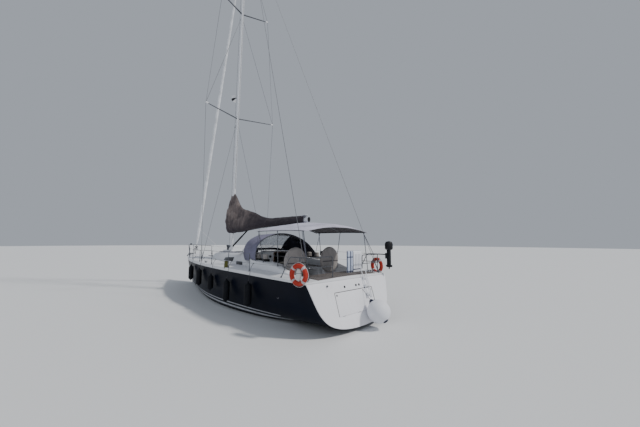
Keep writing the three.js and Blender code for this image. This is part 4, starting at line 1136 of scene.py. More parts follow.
@dataclass
class Topsides:
    """The painted hull, the stern plate and what is let into them."""

    door_half: float = 0.94
    door_low: float = 0.526
    door_high: float = 1.2
    door_hinge: tuple = (-0.3491, 0.532)
    plate: float = 0.03
    gap: float = 0.006
    sheer: float = 1.53
    face: float = 0.033
    exhaust: tuple = (1.37, 1.0)
    cap_places: tuple = (0.43, -0.14, -0.3)
    cap_height: float = 1.33
    lamp: tuple = (1.2, 1.42)
    hinge_places: tuple = (-0.72, 0.0, 0.72)
    catch_places: tuple = (-0.86, 0.86)
    rail_places: tuple = (-0.56, -0.78)
    rungs: tuple = (0.98, 1.24, 1.5, 1.76)
    # columns: distance along the axis, radius
    exhaust_ring: tuple = ((-0.01, 0.0), (-0.01, 0.045), (0.004, 0.052), (0.012, 0.045), (0.01, 0.034),
                           (-0.02, 0.03), (-0.02, 0.0))
    cap: tuple = ((0.0, 0.0), (0.0, 0.038), (0.008, 0.036), (0.012, 0.028), (0.007, 0.024), (0.007, 0.0))
    lens: tuple = ((0.0, 0.0), (0.0, 0.03), (0.03, 0.027), (0.04, 0.016), (0.042, 0.0))
    catch: tuple = ((0.0, 0.0), (0.0, 0.028), (0.006, 0.026), (0.006, 0.012), (0.0, 0.0))

    def build(self) -> None:
        """Builds each piece."""
        dress_node("hull", WHITE)
        Form("hull_skin").skin(HULL.skin_point, 90, 44).walled(-0.003).piece(HULL_ENAMEL, recalc=False)
        self._stern("transom_plate", "root", "transom", False)
        self._stern("platform_plate", "bathing_platform", "bathing_platform", True)
        self._exhaust()
        self._seal()
        self._stern_fittings()
        self._ladder()

    def on_stern(self, y: float, z: float, off: float = 0.0) -> Vector:
        """Point on the stern plate's outer face, or off it."""
        return at(-(self.sheer - z) * HULL.transom_slope - self.face - off, y, z)

    def _outline(self) -> list[Vector]:
        """Rim of the stern plate.

        Returns:
            Its points, round from port to starboard.
        """
        side = [HULL.point(0.0, i / 28, 0.003) for i in range(29)]
        other = [Vector((p.x, -p.y, p.z)) for p in reversed(side[:-1])]
        return [at(p.x - 0.0003, p.y, p.z) for p in side + other]

    def _stern(self, name: str, body: str, node: str, door: bool) -> None:
        """Builds the plate round the door, or the door.

        Args:
            name: the piece's name.
            body: the body it rides on.
            node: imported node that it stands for.
            door: whether it is the door.
        """
        form = Form(name)
        form.mesh.faces.new([form.mesh.verts.new(point) for point in self._outline()])
        grow = -self.gap if door else 0.0
        half, low, high = self.door_half + grow, self.door_low - grow, self.door_high + grow
        cuts = ((PORTWARD * half, PORTWARD), (PORTWARD * -half, PORTWARD), (UP * low, UP), (UP * high, UP))
        for spot, normal in cuts:
            whole = form.mesh.verts[:] + form.mesh.edges[:] + form.mesh.faces[:]
            bmesh.ops.bisect_plane(form.mesh, geom=whole, plane_co=spot, plane_no=normal)
        spare = []
        for face in form.mesh.faces:
            middle = face.calc_center_median()
            within = abs(middle.y) < half and low < middle.z < high
            if within != door:
                spare.append(face)
        bmesh.ops.delete(form.mesh, geom=spare, context="FACES")
        made = bmesh.ops.extrude_face_region(form.mesh, geom=form.mesh.faces[:], use_keep_orig=True)
        outer = [item for item in made["geom"] if isinstance(item, bmesh.types.BMVert)]
        bmesh.ops.translate(form.mesh, vec=(-self.plate, 0, 0), verts=outer)
        form.merged().flats_joined().softened(0.008, 50.0, 3)
        form.piece(STERN_WHITE, body, [node])

    def _seal(self) -> None:
        """Rubber seal round the sides and top of the door's opening, black and thick enough to stand for the
        shadow in the door's gap: partly painted shadow.
        """
        half, low, high = self.door_half + 0.004, self.door_low + 0.02, self.door_high + 0.004
        ring = ((half, low), (half, high), (-half, high), (-half, low))
        corners = [self.on_stern(y, z, -0.004) for y, z in ring]
        Form("door_seal").tube(rounded(corners, 0.02), 0.0085, 8).piece(BLACK)

    def _exhaust(self) -> None:
        """Round skin fitting of the exhaust on the port quarter."""
        x, z = self.exhaust
        foot = at(x, HULL.side(x, z), z)
        Form("exhaust_fitting").turned(self.exhaust_ring, foot, PORTWARD, 24).piece(STEEL)

    def _stern_fittings(self) -> None:
        """Caps and a light on the stern plate, hinges of the platform and its catches."""
        away = Vector((-0.95256, 0, 0.30434))
        caps = Form("stern_caps")
        for y in self.cap_places:
            caps.turned(self.cap, self.on_stern(y, self.cap_height), away, 24)
        caps.piece(BLACK)
        Form("stern_lamp").turned(self.lens, self.on_stern(*self.lamp), away, 20).piece(STEEL)
        hinges, (x, z) = Form("platform_hinges"), self.door_hinge
        for y in self.hinge_places:
            hinges.tube([at(x, y - 0.06, z), at(x, y + 0.06, z)], 0.0055, 12)
        hinges.piece(STEEL, "bathing_platform")
        catches = Form("platform_catches")
        for y in self.catch_places:
            catches.turned(self.catch, self.on_stern(y, 1.12), away, 20)
        catches.piece(STEEL, "bathing_platform")

    def _ladder(self) -> None:
        """Boarding ladder folded up on the platform."""
        form = Form("boarding_ladder")
        for y in self.rail_places:
            points = [self.on_stern(y, 0.9, 0.0), self.on_stern(y, 0.9, 0.05), self.on_stern(y, 1.84, 0.05)]
            form.tube(rounded(points, 0.04), 0.014, 12)
        for z in self.rungs:
            low, high = self.on_stern(-0.77, z, 0.066), self.on_stern(-0.57, z + 0.07, 0.036)
            form.block(low, high + AHEAD * 0.012, 0.008)
        form.piece(ALLOY, "bathing_platform")


@dataclass
class Deckwork:
    """Deck, coachroof, cockpit and their fittings."""

    # columns: node, finish, bevel
    nodes: tuple = (
        ("deck", DECK_WHITE, 0.01), ("coachroof", DECK_WHITE, 0.012), ("coaming_port", WHITE, 0.018),
        ("coaming_starboard", WHITE, 0.018), ("teak_sole", TEAK, 0.002), ("teak_seat_port", TEAK, 0.003),
        ("teak_seat_starboard", TEAK, 0.003), ("teak_aft_deck", TEAK, 0.003), ("pedestal_port", WHITE, 0.014),
        ("pedestal_starboard", WHITE, 0.014), ("cockpit_table", TABLE_COVER, 0.02),
        ("window_port", SMOKED, 0.002), ("window_starboard", SMOKED, 0.002),
    )
    # columns: from stern, half width
    cleats: tuple = ((0.32, 1.62), (7.0, 1.93), (12.4, 0.7))
    # columns: from stern and height of the portlight's corners
    portlight: tuple = ((4.72, 1.75), (5.24, 1.76), (5.33, 1.885), (4.84, 1.885))
    # columns: from stern, half width, height
    rail: tuple = ((5.35, 0.99, 2.235), (6.1, 0.94, 2.215), (6.85, 0.88, 2.195), (7.6, 0.78, 2.175),
                   (8.35, 0.66, 2.155))
    # columns: from stern, place across, half size, height
    lights: tuple = ((5.85, 0.0, 0.26, 2.248), (7.2, 0.0, 0.25, 2.2), (9.0, 0.0, 0.22, 2.125),
                     (6.4, 0.62, 0.17, 2.21), (6.4, -0.62, 0.17, 2.21))
    vent: tuple = (7.75, 0.55, 2.17)
    clutch_count: int = 4
    clutch_first: float = 0.56
    clutch_pitch: float = 0.05
    halyard_winch: tuple = (4.65, 0.7, 2.262)
    dials: tuple = (0.52, 0.68, -0.52, -0.68)
    drums: tuple = (3.02, 3.51)
    drum_half: float = 1.33
    # columns: distance along the axis, radius
    winch_hood: tuple = ((0.0, 0.106), (0.012, 0.108), (0.07, 0.097), (0.1, 0.096), (0.14, 0.108),
                         (0.165, 0.098), (0.178, 0.06), (0.18, 0.0))
    cleat_leg: tuple = ((0.0, 0.0), (0.0, 0.026), (0.008, 0.024), (0.014, 0.014), (0.056, 0.012), (0.06, 0.0))
    cowl: tuple = ((0.0, 0.055), (0.06, 0.05), (0.13, 0.065), (0.19, 0.1), (0.22, 0.112), (0.212, 0.1),
                   (0.15, 0.06), (0.05, 0.0))
    winch: tuple = ((0.0, 0.0), (0.0, 0.075), (0.03, 0.07), (0.05, 0.05), (0.09, 0.052), (0.12, 0.068),
                    (0.14, 0.07), (0.15, 0.05), (0.17, 0.02), (0.17, 0.0))
    dial: tuple = ((0.0, 0.0), (0.0, 0.06), (0.014, 0.057), (0.018, 0.05), (0.014, 0.046), (0.014, 0.0))

    def build(self) -> None:
        """Builds each piece."""
        for node, finish, width in self.nodes:
            eased(node, finish, "root", width)
        eased("companion_hatch", WHITE, "companion_hatch", 0.012)
        eased("fore_hatch", SMOKED, "fore_hatch", 0.008)
        for side in Side:
            self._winches(side)
            self._portlight(side)
            self._roof_rail(side)
        self._cleats()
        self._hatches()
        self._vents()
        self._clutches()
        self._bulkhead()

    def _winches(self, side: Side) -> None:
        """Covered winches on their plinth.

        Args:
            side: side of the boat.
        """
        y = side.value * self.drum_half
        plinth = Form(f"winch_plinth_{side.word}")
        plinth.block(at(2.86, y - 0.09, 2.0), at(3.66, y + 0.09, 2.09), 0.018, 3)
        plinth.piece(BLACK, replaces=[f"winches_{side.word}"])
        for i, x in enumerate(self.drums):
            hood = Form(f"winch_hood_{side.word}_{i + 1}").turned(self.winch_hood, at(x, y, 2.092), UP, 40)
            hood.merged().pushed(lambda p: wrinkle(p, (14, 14, 5), 0.004))
            hood.cloth(WINCH_HOOD, (0.66, 0.29), "stretched", [f"winch_plinth_{side.word}"], 0.155)

    def _portlight(self, side: Side) -> None:
        """Dark slanted light in the coachroof's side.

        Args:
            side: side of the boat.
        """
        def wall(z: float, off: float) -> float:
            """Place across the boat of the coachroof's side, or off it."""
            return side.value * (1.333 - 0.393 * max(0.0, z - 1.76) + off)

        pane = Form(f"portlight_{side.word}")
        corners = [at(x, wall(z, 0.0), z) for x, z in self.portlight]
        pane.plate(corners, Vector((0, side.value * 0.008, 0.002)), 0.003)
        pane.piece(SMOKED)
        rim = [at(x, wall(z, 0.006), z) for x, z in self.portlight]
        Form(f"portlight_rim_{side.word}").tube(rounded([*rim, rim[0]], 0.02), 0.006, 8).piece(STEEL)

    def _roof_rail(self, side: Side) -> None:
        """Grab rail along the coachroof.

        Args:
            side: side of the boat.
        """
        form = Form(f"grab_rail_{side.word}")
        points = [at(x, side.value * y, z + 0.05) for x, y, z in self.rail]
        ends = [points[0] - Vector((0.05, 0, 0.055)), *points, points[-1] + Vector((0.05, 0, -0.055))]
        form.tube(rounded(ends, 0.05), 0.011, 12)
        for point in points[1:-1]:
            form.tube([point - UP * 0.06, point], 0.008, 10)
        form.piece(STEEL)

    def _cleats(self) -> None:
        """Mooring cleats along both sides."""
        form = Form("mooring_cleats")
        for x, y in self.cleats:
            for sign in (1, -1):
                foot = at(x, sign * y, HULL.deck(x, y))
                bar = [foot + Vector((shift, 0, rise)) for shift, rise in
                       ((-0.15, 0.052), (-0.09, 0.062), (0, 0.064), (0.09, 0.062), (0.15, 0.052))]
                form.tube(bar, 0.012, 12)
                for shift in (-0.045, 0.045):
                    form.turned(self.cleat_leg, foot + AHEAD * shift, UP, 16)
        form.piece(STEEL)

    def _hatches(self) -> None:
        """Opening lights in the coachroof."""
        frames, panes = Form("roof_hatch_frames"), Form("roof_hatch_panes")
        for x, y, half, z in self.lights:
            frames.block(at(x - half, y - half, z - 0.03), at(x + half, y + half, z + 0.02), 0.012, 3)
            inner = half - 0.03
            panes.block(at(x - inner, y - inner, z), at(x + inner, y + inner, z + 0.027), 0.008)
        frames.piece(ALLOY)
        panes.piece(SMOKED)

    def _vents(self) -> None:
        """Two vents and their cowls."""
        boxes, cowls = Form("vent_boxes"), Form("vent_cowls")
        x, half, z = self.vent
        for y in (half, -half):
            boxes.block(at(x - 0.2, y - 0.12, z - 0.04), at(x + 0.2, y + 0.12, z + 0.13), 0.03, 3)
            cowls.turned(self.cowl, at(x - 0.08, y, z + 0.13), Vector((-0.35, 0, 1)), 28)
        boxes.piece(WHITE)
        cowls.piece(STEEL)

    def _clutches(self) -> None:
        """Line clutches and a small winch each side of the companionway."""
        banks, levers, drums = Form("line_clutches"), Form("clutch_levers"), Form("halyard_winches")
        for sign in (1, -1):
            for i in range(self.clutch_count):
                y = sign * (self.clutch_first + self.clutch_pitch * i)
                banks.block(at(5.0, y - 0.021, 2.235), at(5.2, y + 0.021, 2.31), 0.01)
                levers.block(at(4.98, y - 0.013, 2.306), at(5.12, y + 0.013, 2.322), 0.005)
            x, y, z = self.halyard_winch
            drums.turned(self.winch, at(x, sign * y, z), UP, 36)
        banks.piece(BLACK)
        levers.piece(ALLOY)
        drums.piece(STEEL)

    def _bulkhead(self) -> None:
        """Frame round the companionway and the instruments beside it."""
        x, half, low, high = 3.893, 0.335, 1.74, 2.285
        route = [at(x, half, low), at(x, half, high), at(x, -half, high), at(x, -half, low)]
        Form("companion_frame").tube(rounded(route, 0.04), 0.014, 12).piece(TEAK_TRIM)
        dials = Form("bulkhead_dials")
        for y in self.dials:
            dials.turned(self.dial, at(3.9, y, 2.12), -AHEAD, 32)
        dials.piece(BLACK)


@dataclass
class Helm:
    """One steering position: wheel, its bag, compass and levers."""

    side: Side
    x: float = 1.82
    y: float = 0.87
    z: float = 2.04
    radius: float = 0.44
    pedestal_x: float = 2.05
    spoke_count: int = 5
    # columns: distance along the axis, radius
    hub: tuple = ((-0.05, 0.0), (-0.05, 0.028), (-0.04, 0.04), (0.05, 0.042), (0.07, 0.036), (0.07, 0.0))
    compass: tuple = ((0.0, 0.0), (0.0, 0.075), (0.03, 0.082), (0.045, 0.07), (0.08, 0.06), (0.105, 0.035),
                      (0.112, 0.0))
    # columns: share from middle to hem, distance ahead of the wheel, radius
    bag: tuple = ((0.0, -0.061, 0.0), (0.3, -0.064, 0.2), (0.5, -0.064, 0.4), (0.62, -0.05, 0.47),
                  (0.74, 0.0, 0.499), (0.86, 0.04, 0.475), (1.0, 0.056, 0.4))
    # columns: name, share from middle to hem, how far ahead, radius, faces round it
    bag_edges: tuple = (("hem", 0.985, 0.004, 0.006, 8), ("seam", 0.64, 0.0, 0.0035, 6))

    def __post_init__(self) -> None:
        """Readies the wheel's middle, its body and the bag's lines."""
        self.centre = at(self.x, self.side.value * self.y, self.z)
        self.body = f"wheel_{self.side.word}"
        self.lines = Lines(self.bag)

    def build(self) -> None:
        """Builds each piece."""
        self._wheel()
        self._bag()
        self._pod()

    def _wheel(self) -> None:
        """Rim, spokes and hub."""
        word, centre = self.side.word, self.centre
        rim = circle(centre, self.radius, PORTWARD, UP, 72)
        Form(f"wheel_rim_{word}").tube(rim, 0.0165, 14, closed=True).piece(STEEL, self.body, [self.body])
        spokes = Form(f"wheel_spokes_{word}")
        for i in range(self.spoke_count):
            a = math.tau * i / self.spoke_count + math.pi / 2
            way = Vector((0, math.cos(a), math.sin(a)))
            spokes.tube([centre + way * 0.03, centre + way * (self.radius - 0.01)], 0.0085, 10)
        spokes.turned(self.hub, centre, AHEAD, 28)
        spokes.piece(STEEL, self.body)

    def on_bag(self, u: float, v: float) -> Vector:
        """Point of the creased bag.

        Args:
            u: share from the middle of its aft face to its hem.
            v: share round the wheel.

        Returns:
            The point.
        """
        along, radius = self.lines.read(u)
        a = math.tau * v
        way = Vector((0, math.sin(a), math.cos(a)))
        spot = self.centre + AHEAD * along + way * radius
        full = smooth_step(0.05, 0.5, u)
        gather = math.sin(a * 26 + 2.5 * math.sin(a * 3)) * 0.0035 * smooth_step(0.75, 1.0, u)
        folds = wrinkle(spot, (3, 7, 2.2), 0.011) * full
        drape = 0.012 * math.sin(a * 5 + 1.0) * full * (1 - smooth_step(0.55, 0.8, u))
        return spot - AHEAD * (abs(folds) * 0.7 + drape * 0.5) + way * (gather - abs(folds) * 0.4)

    def on_band(self, u: float, v: float) -> Vector:
        """Point of the band over the bag's aft face.

        Args:
            u: share along it.
            v: share across it.

        Returns:
            The point.
        """
        y = blend_between(-0.49, 0.49, u)
        bulge = -0.068 - 0.006 * math.sin(v * math.pi)
        x = bulge + 0.04 * smooth_step(0.42, 0.5, abs(y))
        return self.centre + Vector((x, y * 0.98, blend_between(-0.075, -0.035, v)))

    def _bag(self) -> None:
        """Canvas bag over the wheel, closed aft, drawn in round the rim."""
        word = self.side.word
        Form(f"wheel_bag_{word}").skin(self.on_bag, 44, 120).cloth(
            BAG, (1.24, 1.24), "stretched", [f"wheel_rim_{word}"], 1.2, self.body, [f"wheel_cover_{word}"])
        for name, u, ahead, radius, sides in self.bag_edges:
            route = [self.on_bag(u, i / 120) + AHEAD * ahead for i in range(120)]
            form = Form(f"wheel_bag_{name}_{word}").tube(route, radius, sides, closed=True)
            form.piece(BAG_TRIM, self.body)
        Form(f"wheel_bag_band_{word}").skin(self.on_band, 40, 4).walled(-0.002).piece(BAG_TRIM, self.body)

    def _pod(self) -> None:
        """Compass and instrument pod on the pedestal, and the engine lever to starboard."""
        word, x, y = self.side.word, self.pedestal_x, self.side.value * self.y
        Form(f"compass_{word}").turned(self.compass, at(x, y, 2.185), UP, 32).piece(BLACK)
        pod = Form(f"helm_screen_{word}")
        pod.block(at(x + 0.1, y - 0.14, 2.19), at(x + 0.17, y + 0.14, 2.36), 0.014, 3)
        pod.piece(BLACK)
        if self.side is Side.STARBOARD:
            near, far = y - 0.13, y - 0.1625
            lever = Form("engine_lever")
            route = [at(x, near, 1.75), at(x, far, 1.77), at(x - 0.05, far, 1.95)]
            lever.tube(rounded(route, 0.02), 0.008, 10)
            lever.ball(at(x - 0.05, far, 1.96), 0.022, 20)
            lever.piece(STEEL)


@dataclass
class Underwater:
    """Keel, rudder, drive leg and propeller."""

    # columns: node, finish, body
    nodes: tuple = (("keel", ANTIFOUL, "root"), ("rudder", ANTIFOUL, "rudder"),
                    ("drive_leg", LEG_PAINT, "root"), ("propeller", BRONZE, "propeller"))
    anode_place: tuple = (6.95, 0.035, -0.95)
    # columns: distance along the axis, radius
    anode: tuple = ((0.0, 0.0), (0.0, 0.05), (0.02, 0.04), (0.025, 0.0))

    def build(self) -> None:
        """Builds each piece."""
        for node, finish, body in self.nodes:
            eased(node, finish, body, 0.0)
        Form("keel_anode").turned(self.anode, at(*self.anode_place), PORTWARD, 24).piece(LEG_PAINT)


@dataclass
class Rig:
    """Mast, boom and the wires that hold them."""

    mast_x: float = 8.373
    rake: float = 0.026
    masthead: float = 21.2
    gooseneck: float = 3.45
    hinge_aft: float = 0.215
    stay_low: Vector = field(default_factory=lambda: at(13.44, 0, 1.79))
    stay_high: float = 20.7
    boom_end: tuple = (2.1, 0.068, 0.103)
    track_ends: tuple = (5.6, 20.9)
    track_aft: float = 0.131
    dome_height: float = 10.86
    dome_ahead: float = 0.38
    lamp_height: float = 9.1
    chainplate: float = 7.81
    low_shroud: float = 9.44
    # columns: place across, how far ahead of the mast's middle
    halyards: tuple = ((0.06, 0.13), (-0.06, 0.13), (0.02, 0.16))
    # columns: from stern, half width, height
    tips: tuple = ((7.63, 2.0, 9.67), (7.54, 1.42, 15.89))
    # columns: node, finish, body, angle up to which it is shaded smooth
    nodes: tuple = (("mast", ALLOY, "root", 40), ("lower_spreaders", DARK_ALLOY, "root", 50),
                    ("upper_spreaders", DARK_ALLOY, "root", 50), ("boom", ALLOY, "boom", 40),
                    ("vang", BLACK, "boom", 45), ("forestay", STEEL, "root", 40),
                    ("shrouds_port", WIRE, "root", 70), ("shrouds_starboard", WIRE, "root", 70),
                    ("backstays", WIRE, "root", 70))
    # columns: share of the stay, radius of the rolled sail
    roll: tuple = ((0.038, 0.03), (0.05, 0.085), (0.075, 0.105), (0.3, 0.116), (0.6, 0.103), (0.85, 0.078),
                   (0.95, 0.045), (0.965, 0.02))
    # columns: distance along the axis, radius
    dome: tuple = ((0.0, 0.0), (0.0, 0.19), (0.03, 0.215), (0.16, 0.21), (0.2, 0.15), (0.215, 0.0))
    dome_foot: tuple = ((0.0, 0.0), (0.0, 0.12), (0.03, 0.185), (0.085, 0.2), (0.095, 0.0))
    lamp: tuple = ((0.0, 0.0), (0.0, 0.04), (0.05, 0.05), (0.09, 0.04), (0.1, 0.0))
    head_lamp: tuple = ((0.0, 0.0), (0.0, 0.035), (0.08, 0.035), (0.1, 0.02), (0.1, 0.0))
    boot: tuple = ((-0.1, 0.0), (-0.1, 0.03), (-0.02, 0.04), (0.03, 0.034), (0.045, 0.015), (0.045, 0.0))
    screw: tuple = ((0.0, 0.0), (0.0, 0.012), (0.03, 0.017), (0.22, 0.017), (0.25, 0.012), (0.4, 0.0105),
                    (0.42, 0.0))

    def mast(self, z: float) -> float:
        """Length at which the mast's middle stands at a height."""
        return self.mast_x - (z - 2.0) * self.rake

    def hinge(self, z: float) -> float:
        """Length of the boom's axis at a height."""
        return self.mast(z) - self.hinge_aft

    def boom_z(self, x: float) -> float:
        """Height of the boom's middle."""
        start = self.hinge(self.gooseneck)
        return self.gooseneck + (start - x) * (3.6 - self.gooseneck) / (start - 2.08)

    def build(self) -> None:
        """Builds each piece."""
        for node, finish, body, smooth in self.nodes:
            eased(node, finish, body, 0.0, smooth)
        self._track()
        self._dome()
        self._mast_lines()
        self._masthead_gear()
        self._spreader_ends()
        self._screws()
        self._headsail()
        self._sail_end()

    def _track(self) -> None:
        """Sail track up the mast's aft face."""
        route = [at(self.mast(z) - self.track_aft, 0, z) for z in self.track_ends]
        Form("mast_track").tube(route, 0.009, 8).piece(DARK_ALLOY)

    def _mast_lines(self) -> None:
        """Deck lamp and halyards."""
        lamp = at(self.mast(9.2) + 0.17, 0, self.lamp_height)
        Form("deck_lamp").turned(self.lamp, lamp, UP, 24).piece(BLACK)
        halyards = Form("halyards")
        for y, ahead in self.halyards:
            low, high = at(self.mast(3.0) + ahead, y, 2.3), at(self.mast(20.6) + ahead, y, 20.6)
            halyards.tube([low, high], 0.006, 6)
        halyards.piece(DARK_ROPE)

    def _dome(self) -> None:
        """Radar dome on its bracket."""
        z = self.dome_height
        x = self.mast(z)
        middle = at(x + self.dome_ahead, 0, z)
        Form("radar_dome").turned(self.dome, middle, UP, 48).piece(WHITE)
        Form("dome_foot").turned(self.dome_foot, middle - UP * 0.09, UP, 32).piece(BLACK)
        shelf = Form("dome_bracket").block(at(x + 0.1, -0.1, z - 0.11), at(x + 0.5, 0.1, z - 0.078), 0.006)
        shelf.piece(ALLOY)

    def _masthead_gear(self) -> None:
        """Aerial, lamp, wind vane and its cups."""
        top = at(self.mast(self.masthead), 0, self.masthead + 0.015)

        def spot(x: float, z: float, y: float = -0.02) -> Vector:
            """Point ahead of the mast's top and above it."""
            return top + Vector((x, y, z))

        head = Form("masthead_gear")
        head.tube([spot(-0.05, 0, 0.02), spot(-0.05, 0.24, 0.02)], 0.004, 8)
        head.tube([spot(0.1, 0), spot(0.1, 0.16), spot(0.42, 0.2)], 0.006, 8)
        head.turned(self.head_lamp, spot(-0.16, 0, 0), UP, 24)
        for cup in circle(spot(0.42, 0.22), 0.05, AHEAD, PORTWARD, 3):
            head.ball(cup, 0.014, 12)
        head.plate([spot(0.36, 0.14), spot(0.22, 0.1), spot(0.22, 0.18)], PORTWARD * 0.003)
        head.piece(BLACK)

    def _spreader_ends(self) -> None:
        """White boots on the spreaders' tips."""
        boots = Form("spreader_boots")
        for x, y, z in self.tips:
            for sign in (1, -1):
                boots.turned(self.boot, at(x, sign * (y - 0.02), z), Vector((0, sign, 0.04)), 20)
        boots.piece(WHITE)

    def _screws(self) -> None:
        """Bottle screws at the feet of the shrouds and stays."""
        form = Form("rigging_screws")
        tip_x, tip_y, tip_z = self.tips[0]
        for sign in (1, -1):
            foot = at(self.chainplate, sign * (HULL.beam(self.chainplate) - 0.17), 1.79)
            cap = at(tip_x, sign * (tip_y + 0.007), tip_z)
            low = at(self.mast(self.low_shroud), sign * 0.02, self.low_shroud)
            stern = at(0.13, sign * 1.8, 1.6)
            head = at(self.mast(self.masthead) - 0.3, sign * 0.011, 21.085)
            for start, end, off in ((foot, cap, 0.05), (foot, low, 0.05), (stern, head, 0.1)):
                way = (end - start).normalized()
                form.turned(self.screw, start + way * off, way, 16)
        form.piece(STEEL)

    def on_roll(self, u: float, v: float) -> Vector:
        """Point of the rolled headsail, whose free edge winds round it.

        Args:
            u: share up it.
            v: share round it.

        Returns:
            The point.
        """
        way = at(self.mast(self.stay_high) + 0.13, 0, self.stay_high) - self.stay_low
        length = way.length
        way.normalize()
        share = blend_between(0.038, 0.965, u)
        radius = self.radii.read(share)[0]
        turn = math.tau * v
        spiral = (v + share * length / 1.15) % 1.0
        lip = 0.09 * (1 - smooth_step(0.0, 0.1, spiral)) + 0.05 * spiral
        spot = self.stay_low + way * (share * length)
        out = PORTWARD * math.cos(turn) + way.cross(PORTWARD) * math.sin(turn)
        crease = wrinkle(spot + out * radius, (5, 5, 1.6), 0.006)
        return spot + out * (radius * (0.72 + lip) + crease)

    def _headsail(self) -> None:
        """Headsail rolled on its stay, and its sheets."""
        self.radii = Lines(self.roll)
        Form("rolled_headsail").skin(self.on_roll, 420, 40).capped().piece(
            SAIL, replaces=["furled_headsail"], smooth=50)
        way = (at(self.mast(self.stay_high) + 0.13, 0, self.stay_high) - self.stay_low).normalized()
        sheets = Form("headsail_sheets")
        for sign in (1, -1):
            clew = self.stay_low + way * 1.75 + Vector((-0.09, sign * 0.03, 0))
            sheets.tube([clew, at(10.9, sign * 1.0, 1.86), at(9.7, sign * 1.02, 1.87)], 0.007, 8)
        sheets.piece(ROPE)

    def on_flake(self, u: float, v: float) -> Vector:
        """Point of the sail's folded end on the boom.

        Args:
            u: share along the boom.
            v: share up through the folds.

        Returns:
            The point.
        """
        fold = abs(((v * 5) % 2.0) - 1.0) * 2 - 1
        bulge = math.sin(u * math.pi) * 0.012
        x = blend_between(2.17, 2.52, u)
        return at(x, fold * (0.045 + bulge), self.boom_z(x) + 0.11 + v * 0.085 + bulge)

    def _sail_end(self) -> None:
        """End casting of the boom, and the folded sail's white end above it."""
        x, half, rise = self.boom_end
        outline = circle(at(x, 0, self.boom_z(x)), 1.0, PORTWARD * half, UP * rise, 24)
        Form("boom_end").plate(outline, AHEAD * -0.028, 0.006).piece(BLACK, "boom")
        Form("sail_end").skin(self.on_flake, 12, 60).cloth(
            SAIL, (0.35, 0.62), "folded", ["boom"], body="boom", wall=0.0015)


